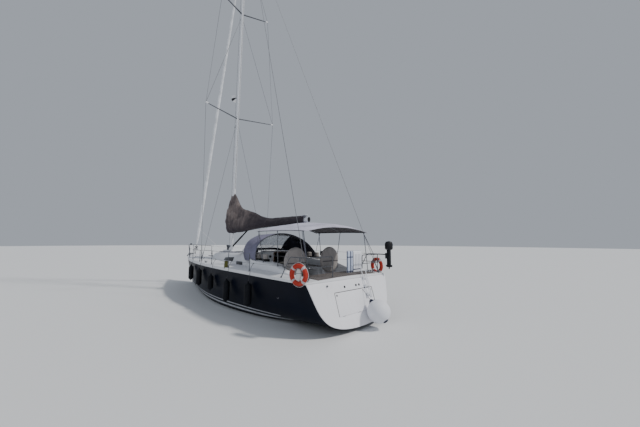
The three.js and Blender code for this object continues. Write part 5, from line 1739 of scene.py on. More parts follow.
@dataclass
class SailCover:
    """One cover that wraps the sail on the boom and runs on round the mast's front."""

    rig: Rig
    aft: float = 2.33
    fore: float = 8.935
    straps: tuple = (2.5, 3.3, 4.1, 4.9, 5.7, 6.3)
    lace_count: int = 22
    lace_first: float = 2.45
    lace_pitch: float = 0.18
    # columns: from stern, top height, bottom height, half width, height of the widest part
    rows: tuple = (
        (2.33, 3.75, 3.485, 0.1, 3.58), (3.1, 3.758, 3.455, 0.12, 3.57), (4.0, 3.765, 3.42, 0.14, 3.55),
        (4.8, 3.785, 3.395, 0.165, 3.53), (5.4, 3.9, 3.37, 0.19, 3.52), (5.9, 4.07, 3.34, 0.21, 3.51),
        (6.62, 4.26, 3.285, 0.235, 3.5), (7.27, 4.45, 3.215, 0.24, 3.52), (7.57, 4.71, 3.2, 0.24, 3.56),
        (7.85, 5.03, 3.2, 0.24, 3.65), (8.05, 5.24, 3.18, 0.245, 3.74), (8.2, 5.35, 3.165, 0.25, 3.82),
        (8.35, 5.36, 3.16, 0.255, 3.88), (8.47, 5.28, 3.165, 0.258, 3.9), (8.6, 5.02, 3.18, 0.245, 3.92),
        (8.74, 4.68, 3.29, 0.205, 3.93), (8.85, 4.4, 3.47, 0.14, 3.93), (8.91, 4.15, 3.66, 0.08, 3.92),
        (8.935, 3.93, 3.9, 0.0, 3.915),
    )

    def __post_init__(self) -> None:
        """Readies the lines."""
        self.lines = Lines(self.rows)

    def spot(self, x: float, t: float, side: float) -> Vector:
        """Point of the cover before its creases.

        Args:
            x: length from the stern.
            t: share up the side, from the laced edge below to the top seam.
            side: 1 to port, -1 to starboard.

        Returns:
            The point.
        """
        top, low, half, waist = self.lines.read(x)
        size = min(1.0, half / 0.1)
        slot = 0.012 + 0.05 * math.exp(-((x - 6.6) / 0.28) ** 2)
        over, under = top - waist, waist - low
        ring = Lines([(0.0, slot * size, low), (0.14, half * 0.52, low + under * 0.08),
                      (0.3, half * 0.88, low + under * 0.48), (0.44, half, waist),
                      (0.62, half * 0.84, waist + over * 0.33), (0.8, half * 0.52, waist + over * 0.68),
                      (0.93, half * 0.2, top - over * 0.05), (1.0, 0.0, top + 0.012 * size)])
        y, z = ring.read(t)
        return at(x, side * max(0.0, y), z)

    def place(self, u: float, v: float) -> Vector:
        """Point of the creased cloth.

        Args:
            u: share along it, from the boom's end to the mast's front.
            v: share round it, from the laced edge over the top seam and down again.

        Returns:
            The point.
        """
        x = blend_between(self.aft, self.fore, u)
        side = 1.0 if v < 0.5 else -1.0
        t = 1 - abs(v - 0.5) * 2
        spot = self.spot(x, t, side)
        strength = min(1.0, self.lines.read(x)[2] / 0.1) * smooth_step(0.0, 0.12, t)
        mast = smooth_step(6.6, 7.8, x)
        boom = 1 - mast
        sag = wrinkle(spot, (2.6, 4.0, 5.5), 0.02) * boom + wrinkle(spot, (3.6, 4.5, 1.4), 0.045) * mast
        pleat = math.sin(x * 13 + wrinkle(spot, (1, 2, 2), 7.0)) * 0.005 * boom
        pleat += math.sin((x * 0.55 - spot.z * 0.8) * 15 + wrinkle(spot, (0.8, 1, 0.8), 4.0)) * 0.022 * mast
        belly = smooth_step(0.2, 0.5, t) * (1 - smooth_step(0.55, 0.9, t))
        hang = -0.03 * belly * math.sin(x * 5.2) * boom
        push = (sag + pleat) * strength
        sideways = side * push * (1 - smooth_step(0.86, 0.98, t))
        return spot + Vector((0, sideways, hang * 0.3 * strength + push * 0.4))

    def build(self) -> None:
        """Builds the cover, its zip, straps and laces."""
        axis, z = self.rig.hinge(self.rig.gooseneck) - AMIDSHIPS, self.rig.gooseneck
        blend = ("root", "boom", (axis + 0.14, 0, z), (axis - 0.75, 0, z))
        Form("sail_cover").skin(self.place, 260, 72).cloth(
            COVER, (7.6, 4.2), "stretched", ["boom"], 14.0, "boom", ["boom_cover", "mast_cover"],
            across=blend)
        top = [self.place(i / 160, 0.5) + UP * 0.004 for i in range(2, 152)]
        Form("cover_zip").tube(top, 0.007, 8).piece(COVER_TRIM, "boom", across=blend)
        straps = Form("cover_straps")
        for x in self.straps:
            u = (x - self.aft) / (self.fore - self.aft)
            middle = at(x, 0, self.lines.read(x)[3])
            route = [self.place(u, i / 60) for i in range(3, 58)]
            straps.tube([spot + (spot - middle).normalized() * 0.003 for spot in route], 0.005, 8)
        straps.piece(COVER_TRIM, "boom")
        laces = Form("cover_laces")
        for i in range(self.lace_count):
            x = self.lace_first + i * self.lace_pitch
            low = self.lines.read(x)[1] + 0.004
            laces.tube([at(x, 0.02, low), at(x + 0.05, -0.02, low)], 0.0035, 6)
        laces.piece(DARK_ROPE, "boom")


@dataclass
class Sprayhood:
    """Folding hood over the companionway, with a clear front."""

    # columns: hoop from stern, foot height, crown height, half width, foot ahead of crown, squareness
    rows: tuple = (
        (3.78, 2.0, 3.09, 1.6, -0.53, 2.0), (4.05, 2.0, 3.095, 1.53, -0.32, 2.6),
        (4.45, 1.98, 2.99, 1.4, 0.0, 3.8), (4.78, 1.95, 2.76, 1.3, 0.03, 4.0),
        (5.17, 1.95, 2.35, 1.01, 0.0, 4.0),
    )
    # columns: from stern, height of the coaming's top
    coaming: tuple = ((1.9, 1.89), (2.3, 1.95), (3.86, 2.08))
    aft: float = 3.78
    fore: float = 5.17
    glass_aft: float = 4.3
    glass_fore: float = 5.08
    glass_half: float = 0.9
    glass_from: float = 0.3
    glass_to: float = 0.7
    roof_aft: float = 3.86
    deck_height: float = 1.8

    def __post_init__(self) -> None:
        """Readies the lines."""
        self.lines = Lines(self.rows)

    def floor(self, x: float, y: float) -> float:
        """Height of what the hood's edge lies on.

        Args:
            x: length from the stern.
            y: place across the boat.

        Returns:
            The height.
        """
        if x < self.roof_aft:
            return Lines(self.coaming).read(x)[0] + 0.002
        half = abs(y)
        roof = 2.3 - 0.04 * (x - 3.9)
        if half < 1.1:
            return roof + 0.004
        if half < 1.3:
            return blend_between(roof - 0.03, self.deck_height, (half - 1.1) / 0.2)
        return self.deck_height

    def place(self, u: float, v: float, inset: float = 0.005) -> Vector:
        """Point of the cloth.

        Args:
            u: share from the aft edge to the fore edge.
            v: share from port to starboard.
            inset: how far it lies inside the solid's surface.

        Returns:
            The point.
        """
        x0 = blend_between(self.aft, self.fore, u)
        foot, crown, half, base, square = self.lines.read(x0)
        edge = math.acos(min(1.0, self.glass_half / half))
        if v < self.glass_from:
            turn = edge * v / self.glass_from
        elif v > self.glass_to:
            turn = math.pi - edge * (1 - v) / self.glass_from
        else:
            middle = (v - self.glass_from) / (self.glass_to - self.glass_from)
            turn = blend_between(edge, math.pi - edge, middle)
        share = math.cos(turn)
        rise = (1 - abs(share) ** square) ** (1 / square)
        tuck = 0.11 * smooth_step(0.15, 0.75, u) * (1 - rise) ** 3
        y = share * (half - inset) - math.copysign(tuck, share)
        x = x0 + base * (1 - rise)
        z = foot + (crown - inset - foot) * rise
        sag = 0.012 * math.sin(math.pi * min(1.0, u / 0.35)) * rise
        spot = Vector((x, y, z - sag))
        spot.z = max(spot.z, self.floor(x, y))
        crease = wrinkle(spot, (3.5, 2.2, 3.5), 0.009) * smooth_step(0.0, 0.15, rise)
        return at(spot.x, spot.y, spot.z + crease)

    def _in_glass(self, u: float, v: float) -> bool:
        """Whether a share lies in the clear front."""
        x = blend_between(self.aft, self.fore, u)
        return self.glass_aft < x < self.glass_fore and self.glass_from < v < self.glass_to

    def _seams(self) -> None:
        """Piping round the clear front, along the aft edge and over the front."""
        span = self.fore - self.aft
        first, last = (self.glass_aft - self.aft) / span, (self.glass_fore - self.aft) / span
        low, high = self.glass_from, self.glass_to
        rim = [self.place(first, blend_between(low, high, i / 40), 0) for i in range(41)]
        rim += [self.place(blend_between(first, last, i / 20), high, 0) for i in range(1, 21)]
        rim += [self.place(last, blend_between(high, low, i / 40), 0) for i in range(1, 41)]
        rim += [self.place(blend_between(last, first, i / 20), low, 0) for i in range(1, 20)]
        seams = Form("hood_piping").tube(rim, 0.006, 8, closed=True)
        seams.tube([self.place(0.0, i / 90, 0) for i in range(91)], 0.008, 8)
        for v in (0.43, 0.57):
            seams.tube([self.place(blend_between(first, last, i / 20), v, 0) for i in range(21)], 0.005, 6)
        seams.piece(HOOD_TRIM)

    def build(self) -> None:
        """Builds the hood, its clear front, piping and bows."""
        Form("hood_cloth").skin(self.place, 56, 110, lambda u, v: not self._in_glass(u, v)).cloth(
            HOOD, (4.6, 2.0), "stretched", ["hood_bows"], 6.0, replaces=["sprayhood"])
        Form("hood_glass").skin(lambda u, v: self.place(u, v, 0.009), 56, 110, self._in_glass).cloth(
            VINYL, (1.9, 1.3), "stretched", ["hood_cloth"], 2.0, replaces=["sprayhood_window"], wall=0.0015)
        self._seams()
        bows = Form("hood_bows")
        for u in (0.03, 0.3):
            bows.tube([self.place(u, i / 60, 0.03) - UP * 0.018 for i in range(61)], 0.012, 10)
        bows.piece(STEEL)


@dataclass
class Bimini:
    """Awning over the helms, on three hoops."""

    # columns: from stern, edge height, crown height, half width
    rows: tuple = (
        (0.43, 3.08, 3.25, 1.56), (0.62, 3.105, 3.325, 1.59), (1.2, 3.125, 3.425, 1.64),
        (1.9, 3.135, 3.46, 1.65), (2.6, 3.135, 3.44, 1.64), (3.15, 3.13, 3.38, 1.61),
        (3.33, 3.11, 3.325, 1.58),
    )
    # columns: hoop from stern, foot from stern, foot height
    hoops: tuple = ((0.62, 0.4, 1.61), (1.9, 2.0, 1.9), (3.15, 2.9, 1.99))
    # columns: upper and lower end of each strap: from stern, half width, height
    ties: tuple = (((0.66, 1.575, 3.09), (0.3, 1.72, 2.29)), ((3.1, 1.59, 3.11), (3.4, 1.56, 2.06)))
    # columns: distance along the axis, radius
    socket: tuple = ((0.0, 0.0), (0.0, 0.035), (0.008, 0.033), (0.012, 0.018), (0.05, 0.017), (0.05, 0.0))
    aft: float = 0.43
    fore: float = 3.33
    tube: float = 0.013
    inset: float = 0.036
    foot_half: float = 1.5
    fullness: float = 2.2

    def __post_init__(self) -> None:
        """Readies the lines."""
        self.lines = Lines(self.rows)

    def place(self, u: float, v: float, under: float = 0.004) -> Vector:
        """Point of the cloth.

        Args:
            u: share from the aft edge to the fore edge.
            v: share from port to starboard.
            under: how far it lies under the solid's surface.

        Returns:
            The point.
        """
        x = blend_between(self.aft, self.fore, u)
        edge, crown, half = self.lines.read(x)
        share = 1 - 2 * v
        rise = 1 - abs(share) ** self.fullness
        nearest = min(abs(x - row[0]) for row in self.hoops)
        sag = 0.014 * smooth_step(0.1, 0.6, nearest) * smooth_step(0.05, 0.5, rise)
        spot = Vector((x, share * (half - 0.004), edge + (crown - edge) * rise - under - sag))
        crease = wrinkle(spot, (2.2, 1.4, 2.0), 0.006) * smooth_step(0.0, 0.2, rise)
        return at(spot.x, spot.y, spot.z + crease)

    def _hems(self) -> None:
        """Hem round the cloth, and a pair of seams over each hoop."""
        hems = Form("bimini_hems")
        rim = [self.place(0, i / 60) for i in range(61)]
        rim += [self.place(i / 50, 1) for i in range(1, 51)]
        rim += [self.place(1, 1 - i / 60) for i in range(1, 61)]
        rim += [self.place(1 - i / 50, 0) for i in range(1, 50)]
        hems.tube(rim, 0.007, 8, closed=True)
        for x, _, _ in self.hoops:
            for shift in (-0.035, 0.035):
                u = (x + shift - self.aft) / (self.fore - self.aft)
                hems.tube([self.place(u, i / 60, 0.002) for i in range(61)], 0.003, 6)
        hems.piece(AWNING_TRIM)

    def _bows(self) -> None:
        """Hoops on their sockets, edge tubes and the joints between them."""
        bows, drop = Form("bimini_hoops"), 0.017
        for x, foot_x, foot_z in self.hoops:
            edge, crown, half = self.lines.read(x)
            arch = []
            for i in range(41):
                share = math.cos(math.pi * i / 40)
                height = edge - drop + (crown - self.inset - edge + drop) * (1 - abs(share) ** self.fullness)
                arch.append(at(x, share * (half - self.inset), height))
            route = [at(foot_x, self.foot_half, foot_z), *arch, at(foot_x, -self.foot_half, foot_z)]
            bows.tube(rounded(route, 0.05, 3), self.tube, 12)
            for sign in (1, -1):
                flange(bows, self.socket, at(foot_x, sign * self.foot_half, foot_z - 0.002))
        for sign in (1, -1):
            edge_tube = [at(x, sign * (half - 0.016), edge - 0.0143) for x, edge, _, half in self.rows[1:-1]]
            bows.tube(edge_tube, 0.0135, 12)
            for x, _, _ in self.hoops:
                edge, _, half = self.lines.read(x)
                y, z = sign * (half - 0.03), edge - 0.016
                bows.tube([at(x - 0.03, y, z), at(x + 0.03, y, z)], 0.022, 12)
        bows.piece(STEEL, replaces=["bimini_frame"])

    def build(self) -> None:
        """Builds the cloth, hems, hoops and straps."""
        Form("bimini_cloth").skin(self.place, 70, 80).cloth(
            AWNING, (2.95, 3.45), "stretched", ["bimini_hoops"], replaces=["bimini"])
        self._hems()
        self._bows()
        straps, half_width = Form("bimini_straps"), AHEAD * 0.0125
        for sign in (1, -1):
            for ends in self.ties:
                a, b = (at(x, sign * y, z) for x, y, z in ends)
                straps.skin(lambda u, v, a=a, b=b: a.lerp(b, u) + half_width * (2 * v - 1), 2, 1)
        straps.walled(-0.0015).piece(HOOD_TRIM)


@dataclass
class Rails:
    """Bow rail, stern rails, posts and their wires."""

    radius: float = 0.015
    top: float = 2.28
    mid: float = 1.98
    gate: float = 0.76
    aft: float = 0.11
    corner: float = 0.28
    # columns: from stern, half width, height; the foot's half width comes from the deck's edge
    bow: tuple = ((13.45, 0.43, 2.44), (14.25, 0.15, 2.46))
    # columns: foot from stern, its half width, then the head's place
    struts: tuple = ((13.3, 0.4, (13.45, 0.43, 2.43)), (13.9, 0.15, (14.25, 0.15, 2.45)))
    # columns: height aft, height at the posts, height forward, where it starts
    wires: tuple = ((2.28, 2.31, 2.4, 0.779), (1.98, 1.98, 2.09, 0.93))
    # columns: distance along the axis, radius
    foot_plate: tuple = ((0.0, 0.0), (0.0, 0.036), (0.008, 0.034), (0.014, 0.021), (0.05, 0.02), (0.052, 0.0))
    post_foot: tuple = ((0.0, 0.0), (0.0, 0.034), (0.01, 0.032), (0.016, 0.02), (0.09, 0.018), (0.1, 0.0135),
                        (0.5, 0.0125))
    terminal: tuple = ((0.0, 0.0), (0.0, 0.008), (0.03, 0.01), (0.15, 0.01), (0.18, 0.006), (0.18, 0.0))

    def edge(self, x: float) -> float:
        """Half width of the line that the posts stand on."""
        return HULL.beam(x) - RAIL_INSET

    def foot(self, x: float, y: float) -> Vector:
        """Point of the deck under a post."""
        return at(x, y, HULL.deck(x, y) - 0.004)

    def build(self) -> None:
        """Builds each piece."""
        self._pulpit()
        for side in Side:
            self._pushpit(side)
            self._guardrail(side)

    def _pulpit(self) -> None:
        """Bow rail and its lamp."""
        form, half = Form("bow_rail"), self.edge(BOW_FOOT)
        port = [(BOW_FOOT, half, 2.42), *self.bow]
        tops = [at(*p) for p in port] + [at(x, -y, z) for x, y, z in reversed(port)]
        feet = [self.foot(BOW_FOOT, sign * half) for sign in (1, -1)]
        form.tube(rounded([feet[0], *tops, feet[1]], 0.1), self.radius, 12)
        for sign in (1, -1):
            flange(form, self.foot_plate, self.foot(BOW_FOOT, sign * half))
            for foot_x, foot_y, (x, y, z) in self.struts:
                base = self.foot(foot_x, sign * foot_y)
                form.tube([base, at(x, sign * y, z)], self.radius - 0.001, 12)
                flange(form, self.foot_plate, base)
            middle = [at(x, sign * y, 2.1) for x, y in ((BOW_FOOT, half), (13.397, 0.42), (14.125, 0.15))]
            form.tube(rounded(middle, 0.08), self.radius - 0.003, 10)
        form.piece(STEEL, replaces=["pulpit"])
        Form("bow_lamp").block(at(14.2, -0.04, 2.475), at(14.3, 0.04, 2.56), 0.014, 3).piece(BLACK)

    def _pushpit(self, side: Side) -> None:
        """Stern rail of one side, with the lifebuoy's holder.

        Args:
            side: side of the boat.
        """
        sign, y = side.value, self.edge(0.6)
        form = Form(f"stern_rail_{side.word}")
        inner = y - 0.17
        route = [self.foot(STERN_FOOT, sign * self.edge(STERN_FOOT)), at(0.76, sign * y, self.top),
                 at(self.corner, sign * y, self.top), at(self.aft, sign * inner, self.top),
                 at(self.aft, sign * self.gate, self.top), self.foot(self.aft, sign * self.gate)]
        form.tube(rounded(route, 0.09), self.radius, 12)
        middle = [at(0.905, sign * y, self.mid), at(self.corner, sign * y, self.mid),
                  at(self.aft, sign * inner, self.mid), at(self.aft, sign * self.gate, self.mid)]
        form.tube(rounded(middle, 0.09), self.radius - 0.003, 12)
        form.tube([self.foot(self.corner, sign * y), at(self.corner, sign * y, self.top)], self.radius, 12)
        for x, half in ((STERN_FOOT, self.edge(STERN_FOOT)), (self.aft, self.gate), (self.corner, y)):
            flange(form, self.foot_plate, self.foot(x, sign * half))
        ring_x, ring_y = BUOY_PLACES[side]
        holder = max(0.29, ring_x)
        form.tube([at(holder + 0.02, sign * y, self.mid), at(holder + 0.02, sign * y, self.top)], 0.009, 10)
        low, high = sorted((sign * (y - 0.005), sign * (ring_y + 0.005)))
        form.block(at(holder, low, 2.006), at(holder + 0.04, high, 2.012), 0.002)
        form.piece(STEEL, replaces=[f"pushpit_{side.word}"])

    def _guardrail(self, side: Side) -> None:
        """Posts and two wires.

        Args:
            side: side of the boat.
        """
        sign = side.value
        posts = Form(f"posts_{side.word}")
        for x in POSTS:
            y = sign * self.edge(x)
            foot = self.foot(x, y)
            cap = 2.32 - foot.z
            profile = [*self.post_foot, (2.312 - foot.z, 0.0125), (cap, 0.008), (cap, 0.0)]
            flange(posts, profile, foot)
            for _, z, _, _ in self.wires:
                posts.tube([at(x, y - 0.02, z), at(x, y + 0.02, z)], 0.007, 8)
        posts.piece(STEEL, replaces=[f"guardrail_{side.word}"])
        wires = Form(f"guard_wires_{side.word}")
        for z, post_z, bow_z, first in self.wires:
            points = [at(first, sign * self.edge(first), z)]
            points += [at(x, sign * self.edge(x), post_z) for x in POSTS]
            points.append(at(BOW_FOOT - 0.015, sign * self.edge(BOW_FOOT), bow_z))
            wires.tube(points, 0.0038, 8)
            for start, end in ((points[0], points[1]), (points[-1], points[-2])):
                wires.turned(self.terminal, start, (end - start).normalized(), 12)
        wires.piece(WIRE)


@dataclass
class Lifebuoy:
    """Ring on the stern rail, with its bands and grab line."""

    side: Side
    z: float = 1.815
    radius: float = 0.25
    tube: float = 0.0675
    turn: float = 0.21
    band_count: int = 4
    band: float = 0.26

    def __post_init__(self) -> None:
        """Sets its place."""
        x, half = BUOY_PLACES[self.side]
        self.centre = at(x, self.side.value * half, self.z)
        turn = Matrix.Rotation(self.side.value * self.turn, 3, "Z")
        self.ahead, self.out = turn @ AHEAD, turn @ PORTWARD

    def spot(self, angle: float, around: float, tube: float) -> Vector:
        """Point on the ring's surface.

        Args:
            angle: angle round the ring.
            around: angle round its tube.
            tube: the tube's radius there.

        Returns:
            The point.
        """
        way = self.ahead * math.cos(angle) + UP * math.sin(angle)
        reach = self.radius + math.cos(around) * tube
        return self.centre + way * reach + self.out * math.sin(around) * tube

    def on_ring(self, u: float, v: float) -> Vector:
        """Point of the ring with its small dents, by its shares along and around."""
        dent = wrinkle(self.spot(u * math.tau, v * math.tau, self.tube), (12, 12, 12), 0.0012)
        return self.spot(u * math.tau, v * math.tau, self.tube + dent)

    def build(self) -> None:
        """Builds each piece."""
        word = self.side.word
        ring = Form(f"buoy_ring_{word}").skin(self.on_ring, 96, 32)
        ring.piece(ORANGE, replaces=[f"lifebuoy_{word}"], smooth=70)
        bands, proud = Form(f"buoy_bands_{word}"), self.tube + 0.0016
        for i in range(self.band_count):
            middle = math.tau * (i + 0.5) / self.band_count
            first = middle - self.band / 2
            bands.skin(lambda u, v, a=first: self.spot(a + u * self.band, v * math.tau, proud), 10, 32)
        bands.walled(-0.001).piece(BAND, smooth=70)
        route = []
        for i in range(96):
            a = math.tau * i / 96 + math.pi / 4
            reach = self.radius + self.tube + 0.007 + 0.018 * abs(math.sin(math.tau * i / 48))
            route.append(self.centre + (self.ahead * math.cos(a) + UP * math.sin(a)) * reach)
        Form(f"buoy_line_{word}").tube(route, 0.0055, 8, closed=True).piece(ROPE)
        if self.side is Side.PORT:
            self._pouch()

    def on_pouch(self, u: float, v: float) -> Vector:
        """Point of the throwing line's pouch.

        Args:
            u: share up it.
            v: share round it.

        Returns:
            The point.
        """
        a = math.tau * v
        close = math.sin(math.pi * min(1.0, max(0.0, u * 0.96 + 0.02))) ** 0.35
        out = self.ahead * math.cos(a) * (0.088 * close) + self.out * math.sin(a) * (0.045 * close)
        spot = self.centre + out + UP * blend_between(-0.155, 0.16, u)
        return spot + self.out * wrinkle(spot, (9, 9, 9), 0.007)

    def _pouch(self) -> None:
        """White pouch of the throwing line, in the ring's middle, with its strap and tie."""
        Form("line_pouch").skin(self.on_pouch, 24, 40).cloth(
            POUCH, (0.46, 0.4), "stretched", ["buoy_ring_port"], 0.12, wall=0.002)
        strap = [self.on_pouch(0.62, i / 40) for i in range(40)]
        Form("pouch_strap").tube(strap, 0.006, 8, closed=True).piece(BLACK)
        tie = [self.centre + UP * 0.15, self.centre + Vector((0.03, -0.03, 0.24)),
               at(0.31, BUOY_PLACES[self.side][1] - 0.06, self.z + 0.24)]
        Form("pouch_tie").tube(tie, 0.006, 8).piece(ROPE)


@dataclass
class Fenders:
    """Black fenders along the port side and the white ball fender at the stern."""

    # columns: from stern, top, length, radius
    rows: tuple = ((2.7, 1.36, 0.83, 0.13), (4.22, 1.31, 0.84, 0.12), (5.64, 1.38, 0.66, 0.115),
                   (7.02, 1.52, 0.78, 0.115), (8.55, 1.565, 0.75, 0.115))
    # columns: distance from the end, share of the radius
    shoulder: tuple = ((0.05, 0.5), (0.075, 0.8), (0.12, 0.985), (0.16, 1.0))
    # columns: distance along the axis, radius
    eye: tuple = ((-0.012, 0.0), (-0.012, 0.03), (0.012, 0.03), (0.012, 0.0))
    ball_cap: tuple = ((0.0, 0.0), (0.0, 0.125), (0.03, 0.112), (0.06, 0.075), (0.1, 0.055), (0.115, 0.03),
                       (0.12, 0.0))
    ball_foot: tuple = ((0.0, 0.0), (0.0, 0.1), (0.012, 0.09), (0.03, 0.05), (0.04, 0.0))
    wire_height: float = 1.98
    hitch_turns: tuple = (-0.014, 0.0, 0.014)
    ball: tuple = (-0.78, -0.43, 0.55)
    ball_radius: float = 0.368
    ball_hang: tuple = (-0.1663, -0.43, 1.1547)

    def build(self) -> None:
        """Builds each piece."""
        for i, row in enumerate(self.rows):
            self._fender(i + 1, *row)
        self._ball()

    def _wire(self, x: float) -> float:
        """Half width of the straight lower wire.

        Args:
            x: length from the stern.

        Returns:
            The half width.
        """
        stops = (STERN_FOOT, *POSTS, BOW_FOOT)
        fore = next(stop for stop in stops if stop > x)
        aft = max(stop for stop in stops if stop <= x)
        a, b = HULL.beam(aft) - RAIL_INSET, HULL.beam(fore) - RAIL_INSET
        return blend_between(a, b, (x - aft) / (fore - aft))

    def _fender(self, number: int, x: float, top: float, length: float, radius: float) -> None:
        """One fender, hung by its line from the lower wire.

        Args:
            number: its number from the stern.
            x: length from the stern.
            top: height of its top.
            length: its length.
            radius: its radius.
        """
        y = max(HULL.side(x, top), HULL.side(x, top - length)) + radius + 0.025
        end = [(0.0, 0.0), (0.0, 0.018), (0.025, 0.03)]
        end += [(off, radius * share) for off, share in self.shoulder]
        profile = [*end, (length / 2, radius), *((length - off, size) for off, size in reversed(end))]
        form = Form(f"fender_body_{number}").turned(profile, at(x, y, top - length), UP, 40)
        form.turned(self.eye, at(x, y, top - 0.002), AHEAD, 20)
        form.piece(FENDER_BLACK, replaces=[f"fender_{number}"], smooth=50)
        hitch = at(x, self._wire(x), self.wire_height)
        line = Form(f"fender_line_{number}")
        line.tube(rounded([at(x, y, top - 0.01), at(x, HULL.beam(x) + 0.035, 1.84), hitch], 0.05), 0.0065, 8)
        for shift in self.hitch_turns:
            line.tube(circle(hitch + AHEAD * shift, 0.011, PORTWARD, UP, 12), 0.0055, 8, closed=True)
        line.piece(DARK_ROPE)

    def _ball(self) -> None:
        """Ball fender with its caps and line."""
        centre, radius, hang = at(*self.ball), self.ball_radius, at(*self.ball_hang)
        Form("ball_fender_body").ball(centre, radius, 64).piece(
            FENDER_WHITE, "ball_fender", ["ball_fender"], smooth=60)
        way = (hang - centre).normalized()
        cap = Form("ball_fender_cap").turned(self.ball_cap, centre + way * (radius - 0.03), way, 40)
        cap.turned(self.ball_foot, centre - way * (radius - 0.016), -way, 32)
        cap.piece(FENDER_BLUE, "ball_fender")
        line = Form("ball_fender_line").tube([centre + way * (radius + 0.07), hang], 0.007, 8)
        line.tube(circle(hang, 0.013, AHEAD, UP, 12), 0.0055, 8, closed=True)
        line.piece(DARK_ROPE, "ball_fender")


@dataclass
class Cushion:
    """Striped cushion leaning on the starboard stern rail."""

    low_inset: Triple = (0.012, 0.012, 0.008)
    high_inset: Triple = (0.012, 0.012, 0.012)
    voxel: float = 0.008
    pressure: float = 4.0
    frames: int = 20
    most_moved: float = 0.012

    def build(self) -> None:
        """Builds the cushion, puffed out by its filling, and its piping."""
        low, high = (Vector(corner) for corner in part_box("striped_cushion"))
        form = Form("striped_cushion_cover")
        form.block(low + Vector(self.low_inset), high - Vector(self.high_inset))
        bmesh.ops.subdivide_edges(form.mesh, edges=form.mesh.edges[:], cuts=5, use_grid_fill=True)
        made = form.piece(STRIPED, replaces=["striped_cushion"], smooth=70)
        self._puff(made)
        x = (low.x + high.x) / 2
        left, right, foot, head = low.y + 0.01, high.y - 0.01, low.z + 0.02, high.z - 0.01
        ring = ((left, foot), (right, foot), (right, head), (left, head), (left, foot))
        route = [Vector((x, y, z)) for y, z in ring]
        Form("cushion_piping").tube(rounded(route, 0.04), 0.006, 8).piece(PIPING)

    def _puff(self, made: bpy.types.Object) -> None:
        """Remeshes the block and blows it up as cloth.

        Args:
            made: the cushion.
        """
        scene = bpy.context.scene
        remesh = made.modifiers.new("even", "REMESH")
        remesh.mode = "VOXEL"
        remesh.voxel_size = self.voxel
        self._apply(made)
        rest = [vert.co.copy() for vert in made.data.vertices]
        settings = made.modifiers.new("fill", "CLOTH").settings
        settings.use_pressure = True
        settings.uniform_pressure_force = self.pressure
        settings.effector_weights.gravity = 0.0
        settings.quality = 4
        for step in range(self.frames):
            scene.frame_set(step + 1)
        self._apply(made)
        scene.frame_set(1)
        for vert, was in zip(made.data.vertices, rest):
            move = vert.co - was
            if move.length > self.most_moved:
                vert.co = was + move.normalized() * self.most_moved
        made.data.polygons.foreach_set("use_smooth", [True] * len(made.data.polygons))

    @staticmethod
    def _apply(made: bpy.types.Object) -> None:
        """Puts a piece's modifiers into its mesh.

        Args:
            made: the piece.
        """
        graph = bpy.context.evaluated_depsgraph_get()
        fresh = bpy.data.meshes.new_from_object(made.evaluated_get(graph))
        made.modifiers.clear()
        made.data = fresh


@dataclass
class Gear:
    """Outboard motor, anchor and the olive bag on the guardrail."""

    bag_x: float = 4.62
    bag_inset: float = 0.035
    bag_wide: float = 0.118
    bag_deep: float = 0.052
    bag_top: float = 1.965
    bag_foot: float = 1.57
    tie_half: float = 0.08

    def on_bag(self, u: float, v: float) -> Vector:
        """Point of the olive bag.

        Args:
            u: share from its rim to its foot.
            v: share round it.

        Returns:
            The point.
        """
        a = math.tau * v
        full = 0.35 + 0.65 * math.sin(math.pi * min(1.0, 0.25 + u * 0.72)) ** 0.6
        shut = 1 - smooth_step(0.9, 1.0, u)
        wide, deep = self.bag_wide * (0.55 + 0.45 * shut), self.bag_deep * full * max(0.03, shut)
        x, y = self.bag_x + math.cos(a) * wide, HULL.beam(self.bag_x) - self.bag_inset + math.sin(a) * deep
        spot = at(x, y, blend_between(self.bag_top, self.bag_foot, u))
        return spot + PORTWARD * (wrinkle(spot, (8, 8, 6), 0.012) * shut)

    def build(self) -> None:
        """Builds each piece."""
        Form("line_bag").skin(self.on_bag, 30, 48).cloth(
            OLIVE, (0.52, 0.42), "hung", ["guard_wires_port"], 0.2, wall=0.002)
        trim = Form("line_bag_rim").tube([self.on_bag(0.0, i / 48) for i in range(48)], 0.006, 8, closed=True)
        y = HULL.beam(self.bag_x) - self.bag_inset
        for x in (self.bag_x - self.tie_half, self.bag_x + self.tie_half):
            trim.tube([at(x, y, self.bag_top - 0.003), at(x, y - 0.022, self.bag_top + 0.02)], 0.005, 8)
        trim.piece(DARK_ROPE)
        eased("anchor", STEEL, "root", 0.003)
        eased("outboard", BLACK, "root", 0.02, 50)


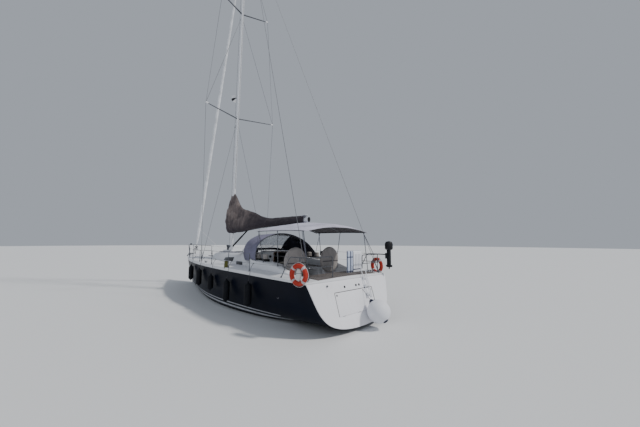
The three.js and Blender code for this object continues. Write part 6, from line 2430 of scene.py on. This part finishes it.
@dataclass
class Studio:
    """Floor, lights and the camera at the photograph's viewpoint."""

    place: Triple = (-13.15, 7.34, 2.78)
    lens: float = 15.85
    yaw: float = -44.31
    pitch: float = 5.51
    roll: float = 0.24
    floor_reach: float = 160.0
    sky: tuple = (0.74, 0.8, 0.9, 1)
    sky_strength: float = 0.5
    # columns: name, where it shines from, strength, softness in degrees, colour
    suns: tuple = (("key", (-0.6, -0.35, 0.75), 2.5, 5.0, (1.0, 0.97, 0.92)),
                   ("fill", (-0.5, 0.8, 0.55), 0.35, 40.0, (0.9, 0.95, 1.0)))

    def build(self) -> None:
        """Sets the stage."""
        self._camera()
        floor = Form("studio_floor")
        bmesh.ops.create_circle(floor.mesh, cap_ends=True, radius=self.floor_reach, segments=64)
        floor.piece(FLOOR_PALE, recalc=False)
        world = bpy.data.worlds.new("studio")
        world.use_nodes = True
        background = world.node_tree.nodes["Background"].inputs
        background["Color"].default_value = self.sky
        background["Strength"].default_value = self.sky_strength
        bpy.context.scene.world = world
        for sun in self.suns:
            self._sun(*sun)

    def _camera(self) -> None:
        """Camera from its place and turns."""
        yaw, pitch, roll = (math.radians(a) for a in (self.yaw, self.pitch, self.roll))
        ahead = Vector((math.cos(yaw) * math.cos(pitch), math.sin(yaw) * math.cos(pitch), math.sin(pitch)))
        right = Vector((math.sin(yaw), -math.cos(yaw), 0))
        up = right.cross(ahead)
        level_right = right * math.cos(roll) + up * math.sin(roll)
        level_up = up * math.cos(roll) - right * math.sin(roll)
        data = bpy.data.cameras.new("camera")
        data.lens = self.lens
        data.sensor_width = 36.0
        data.clip_end = 500.0
        camera = bpy.data.objects.new("camera", data)
        turn = Matrix((level_right, level_up, -ahead)).transposed()
        camera.matrix_world = Matrix.Translation(self.place) @ turn.to_4x4()
        bpy.context.scene.collection.objects.link(camera)
        bpy.context.scene.camera = camera

    def _sun(self, name: str, way: Triple, strength: float, softness: float, colour: Colour) -> None:
        """Adds a soft distant lamp.

        Args:
            name: its name.
            way: where it shines from.
            strength: its strength.
            softness: its width in degrees.
            colour: its colour.
        """
        data = bpy.data.lights.new(name, "SUN")
        data.energy = strength
        data.angle = math.radians(softness)
        data.color = colour
        lamp = bpy.data.objects.new(name, data)
        lamp.rotation_euler = Vector(way).to_track_quat("Z", "Y").to_euler()
        bpy.context.scene.collection.objects.link(lamp)


def main() -> None:
    """Builds the yacht."""
    logging.basicConfig(level=logging.INFO, format="%(message)s")
    Studio().build()
    rig = Rig()
    helms, buoys = ([kind(side) for side in Side] for kind in (Helm, Lifebuoy))
    groups = [Topsides(), Deckwork(), *helms, Underwater(), rig, Rails(), SailCover(rig), Sprayhood(),
              Bimini(), *buoys, Fenders(), Cushion(), Gear()]
    for group in groups:
        group.build()


if __name__ == "__main__":
    main()
